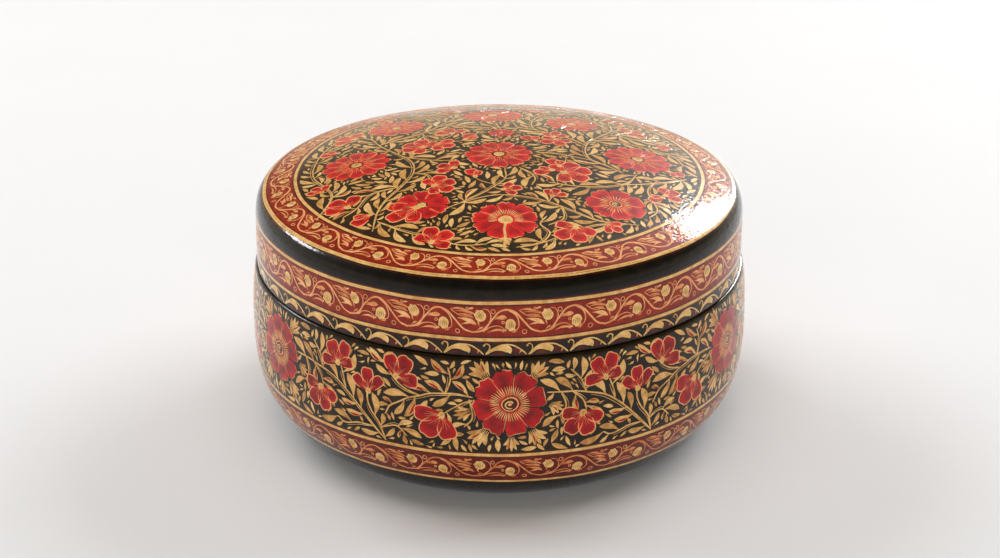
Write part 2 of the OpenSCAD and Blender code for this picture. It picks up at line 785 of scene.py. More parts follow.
DARK_GROUND = Finish("dark_ground", srgb(18, 9, 1), srgb(29, 17, 2), srgb(44, 27, 5))
# The field's dark brown ground, painted a little lighter than the side's: part its own colour, part a painted
# sheen of warm reflection across the top.
FIELD_GROUND_WITH_SHEEN = Finish("field_ground_painted_sheen", srgb(30, 17, 2), srgb(43, 26, 4), srgb(60, 38, 8))
BLACK_GROUND = Finish("black_lacquer", srgb(4, 3, 1), srgb(10, 6, 2), srgb(26, 17, 7))
RED_GROUND = Finish("brick_red_band", srgb(116, 18, 2), srgb(142, 30, 5), srgb(166, 46, 10), clouds=0.5)
# A darker copy of the brick red for the body's low band: painted shade, where the side turns down and away
# from the light.
SHADED_LOW_RED_GROUND = Finish("red_band_painted_shade", srgb(76, 8, 1), srgb(100, 18, 3), srgb(122, 30, 7), clouds=0.5)
GOLD_PAINT = Finish(
    "gold_paint", srgb(182, 126, 58), srgb(224, 172, 98), srgb(246, 206, 136),
    toned=0.5, metal=0.05, roughness=0.42, clouds=0.6, grain=3.0, mottle=0.7,
)
ROSE_PAINT = Finish(
    "rose_gold_paint", srgb(204, 114, 60), srgb(236, 160, 98), srgb(250, 196, 134),
    toned=0.5, metal=0.04, roughness=0.45, clouds=0.6, grain=3.0, mottle=0.7,
)
RED_PAINT = Finish(
    "red_petal_paint", srgb(118, 2, 6), srgb(188, 10, 14), srgb(232, 38, 30),
    toned=0.7, clouds=0.5, mottle=0.4,
)
MAROON_PAINT = Finish("maroon_paint", srgb(56, 8, 4), srgb(84, 16, 8), srgb(112, 28, 14))
INNER_BLACK = Finish(
    "inner_black", srgb(8, 6, 5), srgb(16, 12, 9), srgb(28, 21, 15),
    roughness=0.55, lacquer=Lacquer(roughness=0.2),
)
FLOOR_FINISH = Finish(
    "pale_floor", srgb(237, 238, 241), srgb(239, 240, 243), srgb(241, 242, 245),
    clouds=0.02, grain=0.3, roughness=0.85, mottle=0.4, lacquer=Lacquer(weight=0.0, ripple=0.0, pits=0.0),
)

PAINTS = {
    Coat.GOLD: GOLD_PAINT,
    Coat.ROSE_GOLD: ROSE_PAINT,
    Coat.RED: RED_PAINT,
    Coat.MAROON: MAROON_PAINT,
}


class Workshop:
    """Makes the meshes and keeps one material for each finish."""

    def __init__(self) -> None:
        """Starts with no materials made."""
        self.made: dict[str, bpy.types.Material] = {}

    def finish(self, finish: Finish) -> bpy.types.Material:
        """The material of a finish, made once.

        Args:
            finish: The finish.

        Returns:
            Its material.
        """
        if finish.name not in self.made:
            self.made[finish.name] = finish.material()
        return self.made[finish.name]

    def piece(self, name: str, mesh: bpy.types.Mesh, body: str) -> bpy.types.Object:
        """Puts a mesh in the scene on a body of the frame.

        Args:
            name: The piece's name.
            mesh: Its mesh, in the row frame.
            body: The body that it rides on.

        Returns:
            The object.
        """
        made = bpy.data.objects.new(name, mesh)
        bpy.context.scene.collection.objects.link(made)
        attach(made, body)
        LOG.info("%s: %d faces on %s", name, len(mesh.polygons), body)
        return made

    def turned_shell(
        self,
        name: str,
        rows: Sequence[Point],
        finishes: Sequence[Finish],
        outer: Outline,
        lengths: Sequence[float],
        segments: int = 288,
    ) -> bpy.types.Mesh:
        """Turns a closed outline into a shell.

        Args:
            name: The mesh's name.
            rows: Radius and height of each row, in mm. A row on the axis is a pole.
            finishes: The finish of the strip from each row to the next.
            outer: The outer outline.
            lengths: Each row's length along the outer outline, or 0 for an inner row.
            segments: Steps round the axis.

        Returns:
            The mesh.
        """
        outline = np.array(rows, float)
        tangent = np.roll(outline, -1, 0) - np.roll(outline, 1, 0)
        tangent /= np.maximum(np.linalg.norm(tangent, axis=1, keepdims=True), 1e-9)
        normal = np.stack([tangent[:, 1], -tangent[:, 0]], 1)
        angles = np.linspace(0, TURN, segments, endpoint=False)
        spots = []
        index = []
        for k, (r, z) in enumerate(outline):
            if r < 1e-6:
                index.append(np.full(segments, sum(len(s) for s in spots)))
                spots.append(np.array([[0, 0, z]]))
                continue
            index.append(np.arange(segments) + sum(len(s) for s in spots))
            lift = outer.unevenness(angles, np.full(segments, lengths[k]))
            radius, height = r + normal[k, 0] * lift, z + normal[k, 1] * lift
            spots.append(np.stack([radius * np.sin(angles), -radius * np.cos(angles), height], 1))
        closed = outline[0, 0] > 1e-6
        faces = []
        slots = []
        names = list(dict.fromkeys(f.name for f in finishes))
        for k in range(len(rows) if closed else len(rows) - 1):
            low, high = index[k], index[(k + 1) % len(rows)]
            low_next, high_next = np.roll(low, -1), np.roll(high, -1)
            for a, b, c, d in zip(low, low_next, high_next, high):
                faces.append(list(dict.fromkeys((int(a), int(b), int(c), int(d)))))
                slots.append(names.index(finishes[k].name))
        mesh = bpy.data.meshes.new(name)
        mesh.from_pydata((np.vstack(spots) * MM).tolist(), [], faces)
        for finish_name in names:
            mesh.materials.append(self.finish(next(f for f in finishes if f.name == finish_name)))
        mesh.polygons.foreach_set("material_index", slots)
        mesh.shade_smooth()
        mesh.set_sharp_from_angle(angle=math.radians(50))
        return mesh

    def painted(self, name: str, work: BrushWork, surface: Surface, coat: Coat, rows: int) -> bpy.types.Mesh:
        """Lays brushwork on a form as a mesh.

        Args:
            name: The mesh's name.
            work: The brushwork.
            surface: The form it is laid on.
            coat: Its paint.
            rows: How many rows a long strip's map is folded into.

        Returns:
            The mesh.
        """
        flat = work.flat()
        faces = work.all_quads().tolist() + work.all_triangles().tolist()
        mesh = bpy.data.meshes.new(name)
        mesh.from_pydata(surface.lay(flat).tolist(), [], faces)
        mesh.materials.append(self.finish(PAINTS[coat]))
        mesh.shade_smooth()
        mesh.normals_split_custom_set_from_vertices(surface.normals(flat).tolist())
        tone = mesh.attributes.new("tone", "FLOAT", "POINT")
        tone.data.foreach_set("value", work.all_tones())
        low, high = flat[:, :2].min(0), flat[:, :2].max(0)
        across = (flat[:, 0] - low[0]) / (high[0] - low[0]) * rows
        up = (flat[:, 1] - low[1]) / (high[1] - low[1])
        corners = np.empty(len(mesh.loops), int)
        mesh.loops.foreach_get("vertex_index", corners)
        starts = np.empty(len(mesh.polygons), int)
        mesh.polygons.foreach_get("loop_start", starts)
        sizes = np.diff(np.append(starts, len(corners)))
        row = np.repeat(np.clip(np.floor(across[corners[starts]]), 0, rows - 1), sizes)
        places = np.stack([np.clip(across[corners] - row, 0, 1), (row + 0.02 + 0.96 * up[corners]) / rows], 1)
        layer = mesh.uv_layers.new(name="OFBake")
        layer.data.foreach_set("uv", places.ravel())
        return mesh


def fresh_work() -> dict[Coat, BrushWork]:
    """Empty brushwork of each paint."""
    return {coat: BrushWork() for coat in Coat}


def hand_drift(flat: np.ndarray, reach: float) -> np.ndarray:
    """Shifts repeats a little, so that no two come out alike.

    Args:
        flat: Flat vertices on a strip.
        reach: How far they may drift, in mm.

    Returns:
        The shifted vertices.
    """
    angle = flat[:, 0] / SIDE_R
    moved = flat.copy()
    slow = np.sin(31 * angle + flat[:, 1] / 2.1)
    moved[:, 0] += reach * (slow + 0.7 * np.sin(53 * angle + flat[:, 1] / 1.3))
    moved[:, 1] += reach * 0.8 * (np.sin(17 * angle + 1.1) * np.sin(flat[:, 1] / 1.7 + 41 * angle))
    return moved


def run_round(
    one: dict[Coat, BrushWork], work: dict[Coat, BrushWork], offsets: Sequence[float], drift: float
) -> None:
    """Runs one repeat of a strip the whole way round.

    Args:
        one: The repeat, in each paint.
        work: The brushwork that it goes to.
        offsets: Where each copy stands along the strip.
        drift: How far its strokes drift from copy to copy, in mm.
    """
    for coat, strokes in one.items():
        if strokes.count:
            whole = strokes.repeated(offsets)
            flat = hand_drift(whole.flat(), drift)
            work[coat].add(flat, whole.all_tones(), whole.all_quads(), whole.all_triangles())


class Motif(Protocol):
    """Anything that can be painted into brushwork."""

    def paint(self, work: dict[Coat, BrushWork]) -> None:
        """Paints the motif, in each of its paints."""


@dataclass(frozen=True)
class Band:
    """A gold ring round a form, with thin maroon margins.

    The ring lies at a flat height on a strip, and the strip runs the whole way round.
    """

    up: float
    round_length: float = ROUND_SIDE
    width: float = 1.05
    margin: float = 0.45
    segments: int = 360

    def paint(self, work: dict[Coat, BrushWork]) -> None:
        """Paints the gold ring and its two margins."""
        self.ring(work[Coat.GOLD], self.width, Lift.STEM, 0.6)
        self.ring(work[Coat.MAROON], self.width + 2 * self.margin, Lift.WASH, 0.15)

    def ring(self, work: BrushWork, width: float, lift: Lift, tone: float) -> None:
        """Paints one ring.

        Args:
            work: The brushwork it goes to.
            width: Its width.
            lift: Its coat.
            tone: Its shade.
        """
        u = np.linspace(0, self.round_length, self.segments, endpoint=False)
        angle = u / self.round_length * TURN
        waver = 0.05 * np.sin(9 * angle + self.up) + 0.035 * np.sin(23 * angle + 2 * self.up)
        rows = np.stack([u, self.up + waver], 1)
        flat = np.repeat(rows[:, None, :], 4, 1)
        flat[:, :, 1] += (BrushWork.EDGES * width)[None, :]
        heights = np.array([BrushWork.SUNK, lift.value, lift.value, BrushWork.SUNK])
        heights = np.broadcast_to(heights, (self.segments, 4))
        vertices = np.concatenate([flat, heights[:, :, None]], 2).reshape(-1, 3)
        first = np.arange(self.segments)
        after = (first + 1) % self.segments
        quads = [
            np.stack([first * 4 + k, after * 4 + k, after * 4 + k + 1, first * 4 + k + 1], 1)
            for k in range(3)
        ]
        work.add(vertices, tone, np.vstack(quads), np.empty((0, 3), int))


@dataclass(frozen=True)
class Area:
    """A painted area: the form that carries it, its motifs, and the rows that its map is folded into."""

    name: str
    surface: Surface
    motifs: Sequence[Motif]
    rows: int = MAP_ROWS

    def build(self, shop: Workshop, body: str, slot: str) -> None:
        """Paints the motifs and makes one piece of each paint that they use.

        Args:
            shop: The workshop.
            body: The body that the pieces ride on.
            slot: Their material slot; not used.
        """
        paints = fresh_work()
        for motif in self.motifs:
            motif.paint(paints)
        for coat, work in paints.items():
            if work.count:
                name = f"{self.name}_{coat.value}"
                made = shop.piece(name, shop.painted(name, work, self.surface, coat, self.rows), body)


@dataclass(frozen=True)
class BodyBands:
    """Places of the gold rings on the body in mm: real heights, and heights in the flat layout."""

    low_gold_z: float = 9.0
    high_gold_z: float = 17.7
    low_gold_up: float = 14.57
    high_gold_up: float = 23.78


@dataclass(frozen=True)
class LidBands:
    """Places of the gold rings on the lid in mm: real places, and heights in the flat layout."""

    low_gold_z: float = 47.3
    high_gold_z: float = 56.5
    low_gold_up: float = 53.72
    high_gold_up: float = 62.92
    outer_gold_r: float = 59.7
    inner_gold_r: float = 51.7
    shoulder_gap: float = 4.0

    @property
    def middle_r(self) -> float:
        """Radius of the middle of the red band on the top."""
        return (self.inner_gold_r + self.outer_gold_r) / 2

    @property
    def half(self) -> float:
        """Half the width of the red band on the top."""
        return (self.outer_gold_r - self.inner_gold_r) / 2


BODY_BANDS = BodyBands()
LID_BANDS = LidBands()


@dataclass
class BoxBody:
    """The body: its turned shell, its base, its collar and its painted sides."""

    shop: Workshop
    sizes: BodySizes = BodySizes()

    def outside(self) -> list[Point]:
        """The outer outline.

        Returns:
            Radius and height of each row, from the foot to the top of the rim.
        """
        s = self.sizes
        climb = np.concatenate([
            np.linspace(s.foot_edge, s.belly_z, 70),
            np.linspace(s.belly_z, s.rim_z - s.rim_edge, 36)[1:],
        ])
        edge = [
            (s.rim_r - s.rim_edge + s.rim_edge * math.cos(a), s.rim_z - s.rim_edge + s.rim_edge * math.sin(a))
            for a in np.linspace(math.pi / 12, math.pi / 2, 7)
        ]
        return [(s.outside(0) - s.foot_edge / 2, 0.0), *((s.outside(z), z) for z in climb), *edge]

    def build_shell(self) -> Outline:
        """Turns the shell and lets it stand for the CAD body.

        Returns:
            The outer outline, for the painting.
        """
        s = self.sizes
        outer = self.outside()
        base_r = s.outside(s.foot_t) - s.base_wall
        base_top = s.foot_t + s.base_t
        bowl_z = s.rim_z - s.collar_down - s.collar_margin
        share = (1 - (base_r / s.mouth_r) ** s.belly_power) ** (1 / s.belly_power)
        drop = (bowl_z - base_top) / share
        inner = [(s.mouth_r, s.rim_z), (s.mouth_r, bowl_z)]
        inner += [(s.curve(s.mouth_r, drop, bowl_z - z), z) for z in np.linspace(bowl_z, base_top, 40)[1:]]
        inner += [(base_r, s.foot_t), (base_r - s.foot_ledge, s.foot_t), (base_r - s.foot_ledge, 0.0)]
        rows = outer + inner
        finishes = []
        for k, (r, z) in enumerate(rows):
            if k >= len(outer) - 1:
                finishes.append(INNER_BLACK)
            elif z < BODY_BANDS.low_gold_z:
                finishes.append(BLACK_GROUND)
            elif z < BODY_BANDS.high_gold_z:
                # The low red band takes the darker red: painted shade.
                finishes.append(SHADED_LOW_RED_GROUND)
            else:
                finishes.append(DARK_GROUND)
        outline = Outline(outer, 0.4)
        lengths = outline.row_lengths(outer, len(inner))
        mesh = self.shop.turned_shell("painted_body", rows, finishes, outline, lengths)
        shell = self.shop.piece("painted_body", mesh, "box_body")
        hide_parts("body_shell")
        return outline

    def dress_inner_pieces(self) -> None:
        """Finishes the base and the collar, which stay as the CAD made them."""
        for node in ("base_disc", "collar"):
            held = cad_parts[node]
            held.data.materials.clear()
            held.data.materials.append(self.shop.finish(INNER_BLACK))

    def paint(self, outline: Outline) -> None:
        """Paints the rings, the red scroll band and the band of flowers.

        Args:
            outline: The outer outline.
        """
        side = SideSurface(outline, BODY_BANDS.high_gold_up, BODY_BANDS.high_gold_z)
        for area in (
            Area("body_rings", side, (Band(BODY_BANDS.low_gold_up), Band(BODY_BANDS.high_gold_up))),
            # The body's scroll strokes are painted darker (shade -0.35): painted shade on the low band, like
            # its ground.
            Area("body_scroll", side, (ScrollBand(19.2, 3.1, repeats=24, seed=3, shade=-0.35),)),
            Area("body_frieze", side, (Frieze(),)),
        ):
            area.build(self.shop, "box_body", "painted_body")


@dataclass
class Lid:
    """The lid: its turned shell, its painted side and its painted top."""

    shop: Workshop
    sizes: LidSizes = LidSizes()

    def build_shell(self) -> Outline:
        """Turns the shell and lets it stand for the CAD lid.

        Returns:
            The outer outline, for the painting.
        """
        s = self.sizes
        bottom = s.body.rim_z
        lid_r = s.body.rim_r - s.lid_in
        top_r = lid_r - s.lid_lean
        in_r = s.body.mouth_r + s.clearance
        turn, dome_r, start_z = s.corner(s.crown_z, s.crown_curve, top_r, s.shoulder_in, s.shoulder_up)
        edge = [
            (lid_r - s.lid_edge + s.lid_edge * math.cos(a), bottom + s.lid_edge + s.lid_edge * math.sin(a))
            for a in np.linspace(-math.pi / 2, 0, 7)
        ]
        climb = [
            (lid_r + (top_r - lid_r) * t, bottom + s.lid_edge + (start_z - bottom - s.lid_edge) * t)
            for t in np.linspace(0, 1, 25)[1:]
        ]
        centre = top_r - s.shoulder_in
        shoulder = [
            (centre + s.shoulder_in * math.cos(a), start_z + s.shoulder_up * math.sin(a))
            for a in np.linspace(0, turn, 22)[1:]
        ]
        radii = np.concatenate([np.linspace(dome_r, 2.0, 76)[1:], [1.0, 0.5, 0.0]])
        crown = [(float(r), s.dome(s.crown_z, s.crown_curve, float(r))) for r in radii]
        outer = edge + climb + shoulder + crown
        under_top, under_curve = s.crown_z - s.crown_t, s.crown_curve - s.crown_t
        turn_in, under_r, corner_z = s.corner(under_top, under_curve, in_r, s.corner_in, s.corner_up)
        under = [
            (float(r), s.dome(under_top, under_curve, float(r))) for r in np.linspace(0, under_r, 30)[:-1]
        ]
        corner = [
            (in_r - s.corner_in + s.corner_in * math.cos(a), corner_z + s.corner_up * math.sin(a))
            for a in np.linspace(turn_in, 0, 14)
        ]
        rows = outer[::-1] + [(in_r, bottom)] + corner[::-1] + under[::-1]
        finishes = []
        for k, (r, z) in enumerate(rows):
            if k >= len(outer) - 1:
                finishes.append(INNER_BLACK)
            elif r < LID_BANDS.inner_gold_r:
                # The field takes the lighter ground: its own dark brown with a painted sheen.
                finishes.append(FIELD_GROUND_WITH_SHEEN)
            elif r < LID_BANDS.outer_gold_r and z > LID_BANDS.high_gold_z + LID_BANDS.shoulder_gap:
                finishes.append(RED_GROUND)
            elif z > LID_BANDS.high_gold_z:
                finishes.append(BLACK_GROUND)
            elif z > LID_BANDS.low_gold_z:
                finishes.append(RED_GROUND)
            else:
                finishes.append(DARK_GROUND)
        outline = Outline(outer, 0.3)
        lengths = outline.row_lengths(outer, 0)[::-1] + [0.0] * (len(rows) - len(outer))
        # The rows run from the top down and back up inside, so they are turned over to face outwards.
        strips = finishes[-2::-1] + finishes[-1:]
        mesh = self.shop.turned_shell("painted_lid", rows[::-1], strips, outline, lengths[::-1])
        shell = self.shop.piece("painted_lid", mesh, "lid")
        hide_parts("lid_shell")
        return outline

    def paint(self, outline: Outline) -> None:
        """Paints the side's rings, scroll band and border, and then the top's rings, scroll band and flowers.

        Args:
            outline: The outer outline.
        """
        side = SideSurface(outline, LID_BANDS.low_gold_up, LID_BANDS.low_gold_z)
        top = TopRingSurface(outline, LID_BANDS.middle_r)
        round_top = TURN * LID_BANDS.middle_r
        half = LID_BANDS.half
        for area in (
            Area("lid_side_rings", side, (Band(LID_BANDS.low_gold_up), Band(LID_BANDS.high_gold_up))),
            Area("lid_side_scroll", side, (ScrollBand(58.35, 3.3, repeats=25, seed=5),)),
            Area("lid_border", side, (HookBand(),)),
            Area("lid_top_rings", top, (Band(-half, round_top), Band(half, round_top))),
            Area("lid_top_scroll", top, (ScrollBand(0.0, 2.75, repeats=22, seed=9, round_length=round_top),)),
            Area("lid_field", TopSurface(outline), (TopField(),), rows=1),
        ):
            area.build(self.shop, "lid", "painted_lid")


@dataclass(frozen=True)
class Lamp:
    """A soft box: a lit panel that faces the object."""

    name: str
    place: Place
    size: Point
    watts: float
    aim: Place = (0.0, 0.0, 0.04)
    mirrored: bool = True
    lights: bool = True

    def build(self) -> None:
        """Hangs the lamp and turns it to what it lights."""
        data = bpy.data.lights.new(self.name, "AREA")
        data.shape = "RECTANGLE"
        data.size, data.size_y = self.size
        data.energy = self.watts
        held = bpy.data.objects.new(self.name, data)
        away = [a - b for a, b in zip(self.aim, self.place)]
        length = math.sqrt(sum(c * c for c in away))
        held.visible_glossy = self.mirrored
        held.visible_diffuse = self.lights
        held.location = self.place
        tilt = math.acos(-away[2] / length)
        held.rotation_euler = (tilt, 0.0, math.atan2(away[1], away[0]) - math.pi / 2)
        bpy.context.scene.collection.objects.link(held)


@dataclass(frozen=True)
class Studio:
    """The camera, the floor and the light round the box."""

    camera_place: Place = (0.00024, -0.4756, 0.2489)
    camera_down_deg: float = 24.25
    lens_mm: float = 72.0
    film_mm: float = 36.0
    floor_half: float = 3.0
    sky_colour: Shade = srgb(252, 236, 208)
    sky_low: float = 0.85
    sky_high: float = 0.15
    sky_fade: float = 0.42
    lamps: tuple[Lamp, ...] = (
        Lamp("window_left", (-0.93, 0.36, 0.6), (0.44, 0.2), 7.0, lights=False),
        Lamp("window_right", (0.52, 1.0, 0.5), (0.17, 0.6), 17.0, lights=False),
        Lamp("daylight_left", (-0.9, 0.6, 0.9), (0.9, 0.6), 9.5, mirrored=False),
        Lamp("daylight_right", (0.9, 0.6, 0.9), (0.9, 0.6), 9.5, mirrored=False),
        Lamp("front_sheet", (-0.25, -1.5, 0.6), (1.2, 0.6), 7.0, mirrored=False),
        Lamp("overhead", (-0.05, 0.0, 1.1), (0.9, 0.7), 3.0, mirrored=False),
    )

    def build(self, shop: Workshop) -> None:
        """Sets up the camera, the floor, the sky and the lamps.

        Args:
            shop: Where the floor's finish is made.
        """
        scene = bpy.context.scene
        data = bpy.data.cameras.new("camera")
        data.sensor_width = self.film_mm
        data.lens = self.lens_mm
        data.clip_start = 0.01
        camera = bpy.data.objects.new("camera", data)
        camera.location = self.camera_place
        camera.rotation_euler = (math.radians(90 - self.camera_down_deg), 0.0, 0.0)
        scene.collection.objects.link(camera)
        scene.camera = camera
        scene.view_settings.view_transform = "Standard"
        self.lay_floor(shop)
        self.light_sky(scene)
        for lamp in self.lamps:
            lamp.build()

    def light_sky(self, scene: bpy.types.Scene) -> None:
        """Lights the sky, brightest at the horizon.

        Args:
            scene: The scene.
        """
        world = scene.world or bpy.data.worlds.new("sky")
        scene.world = world
        world.use_nodes = True
        tree = world.node_tree
        backdrop = tree.nodes["Background"]
        backdrop.inputs["Color"].default_value = self.sky_colour
        height = tree.nodes.new("ShaderNodeSeparateXYZ")
        tree.links.new(tree.nodes.new("ShaderNodeTexCoord").outputs["Generated"], height.inputs["Vector"])
        fade = tree.nodes.new("ShaderNodeMapRange")
        fade.interpolation_type = "SMOOTHERSTEP"
        fade.inputs["From Min"].default_value = 0.0
        fade.inputs["From Max"].default_value = self.sky_fade
        fade.inputs["To Min"].default_value = self.sky_low
        fade.inputs["To Max"].default_value = self.sky_high
        tree.links.new(height.outputs["Z"], fade.inputs["Value"])
        tree.links.new(fade.outputs["Result"], backdrop.inputs["Strength"])

    def lay_floor(self, shop: Workshop) -> None:
        """Lays a plain pale floor.

        Args:
            shop: Where its finish is made.
        """
        h = self.floor_half
        mesh = bpy.data.meshes.new("floor")
        mesh.from_pydata([(-h, -h, 0), (h, -h, 0), (h, h, 0), (-h, h, 0)], [], [(0, 1, 2, 3)])
        mesh.materials.append(shop.finish(FLOOR_FINISH))
        floor = bpy.data.objects.new("floor", mesh)
        bpy.context.scene.collection.objects.link(floor)


@dataclass(frozen=True)
class Petal:
    """One petal of a small flower: where it points, and its size in mm."""

    angle_deg: float
    length: float
    width: float


class Opening(Enum):
    """The kinds of small flower, by the petals that they open."""

    TULIP = (Petal(0, 1.0, 0.5), Petal(48, 0.86, 0.42), Petal(-48, 0.86, 0.42))
    BUD = (Petal(12, 1.0, 0.62), Petal(-24, 0.72, 0.4))
    TRIPLE = (Petal(4, 1.0, 0.62), Petal(58, 0.95, 0.56), Petal(-56, 0.9, 0.52))
    QUAD = (Petal(30, 1.0, 0.56), Petal(-26, 1.0, 0.56), Petal(84, 0.8, 0.46), Petal(-80, 0.76, 0.44))
    FIVE = (
        Petal(0, 1.0, 0.6),
        Petal(50, 0.95, 0.56),
        Petal(-50, 0.95, 0.56),
        Petal(104, 0.75, 0.44),
        Petal(-104, 0.75, 0.44),
    )


@dataclass(frozen=True)
class Flower:
    """A small flower: the middle of its petals, its size, the way it opens and its kind."""

    x: float
    y: float
    size: float
    facing_deg: float
    kind: Opening

    CALYX_BACK = 0.52

    @property
    def calyx(self) -> Point:
        """Where its petals spring from.

        Returns:
            The point, in the flat layout.
        """
        back = self.CALYX_BACK * self.size
        angle = math.radians(self.facing_deg)
        return self.x - back * math.cos(angle), self.y - back * math.sin(angle)


@dataclass(frozen=True)
class Rosette:
    """A large open flower seen from above."""

    x: float
    y: float
    radius: float
    petals: int = 12
    stamens: int = 0
    turn_deg: float = 0.0
    pointed: float = 0.0
    hanging: bool = False


class Ground:
    """Where the ground is still bare, on a fine grid."""

    CELL = 0.25

    def __init__(
        self, low: Point, high: Point, wraps: bool, inside: Callable[[np.ndarray], np.ndarray]
    ) -> None:
        """Starts with everything bare.

        Args:
            low: Lowest flat corner.
            high: Highest flat corner.
            wraps: Whether the first axis runs into itself.
            inside: Tells which points may be painted.
        """
        self.low = np.array(low)
        self.high = np.array(high)
        self.wraps = wraps
        self.inside = inside
        self.shape = np.ceil((self.high - self.low) / self.CELL).astype(int)
        self.taken = np.zeros(self.shape, bool)

    def cells(self, points: np.ndarray) -> tuple[np.ndarray, np.ndarray, np.ndarray]:
        """The cells that points lie in.

        Args:
            points: Flat points.

        Returns:
            Both indexes of each point's cell, and whether the point is on the grid.
        """
        at = np.floor((points - self.low) / self.CELL).astype(int)
        if self.wraps:
            at[:, 0] %= self.shape[0]
        held = ((at >= 0) & (at < self.shape)).all(1)
        at = np.clip(at, 0, self.shape - 1)
        return at[:, 0], at[:, 1], held

    def mark(self, points: np.ndarray, reach: int = 1) -> None:
        """Marks points and the cells near them as painted.

        Args:
            points: Flat points.
            reach: How many cells to each side are marked too.
        """
        x, y, held = self.cells(points)
        x = x[held]
        y = y[held]
        for dx in range(-reach, reach + 1):
            for dy in range(-reach, reach + 1):
                across = (x + dx) % self.shape[0] if self.wraps else np.clip(x + dx, 0, self.shape[0] - 1)
                self.taken[across, np.clip(y + dy, 0, self.shape[1] - 1)] = True

    def mark_disc(self, x: float, y: float, radius: float) -> None:
        """Marks a whole disc as painted.

        Args:
            x: First coordinate of its middle.
            y: Second coordinate of its middle.
            radius: Its radius.
        """
        steps = np.arange(-radius, radius + self.CELL, self.CELL * 0.8)
        grid = np.stack(np.meshgrid(steps, steps), -1).reshape(-1, 2)
        self.mark(grid[np.hypot(grid[:, 0], grid[:, 1]) <= radius] + (x, y), 0)

    def bare(self, points: np.ndarray) -> bool:
        """Whether all points lie on bare ground that may be painted."""
        x, y, held = self.cells(points)
        return bool(held.all() and self.inside(points).all() and not self.taken[x, y].any())


def ray(middle: Sequence[float], angle: float, distances: Sequence[float]) -> np.ndarray:
    """Points on a straight line outwards.

    Args:
        middle: Where the line starts.
        angle: The way it runs.
        distances: How far out each point is.

    Returns:
        The points.
    """
    return np.array([(d * math.cos(angle), d * math.sin(angle)) for d in distances]) + middle


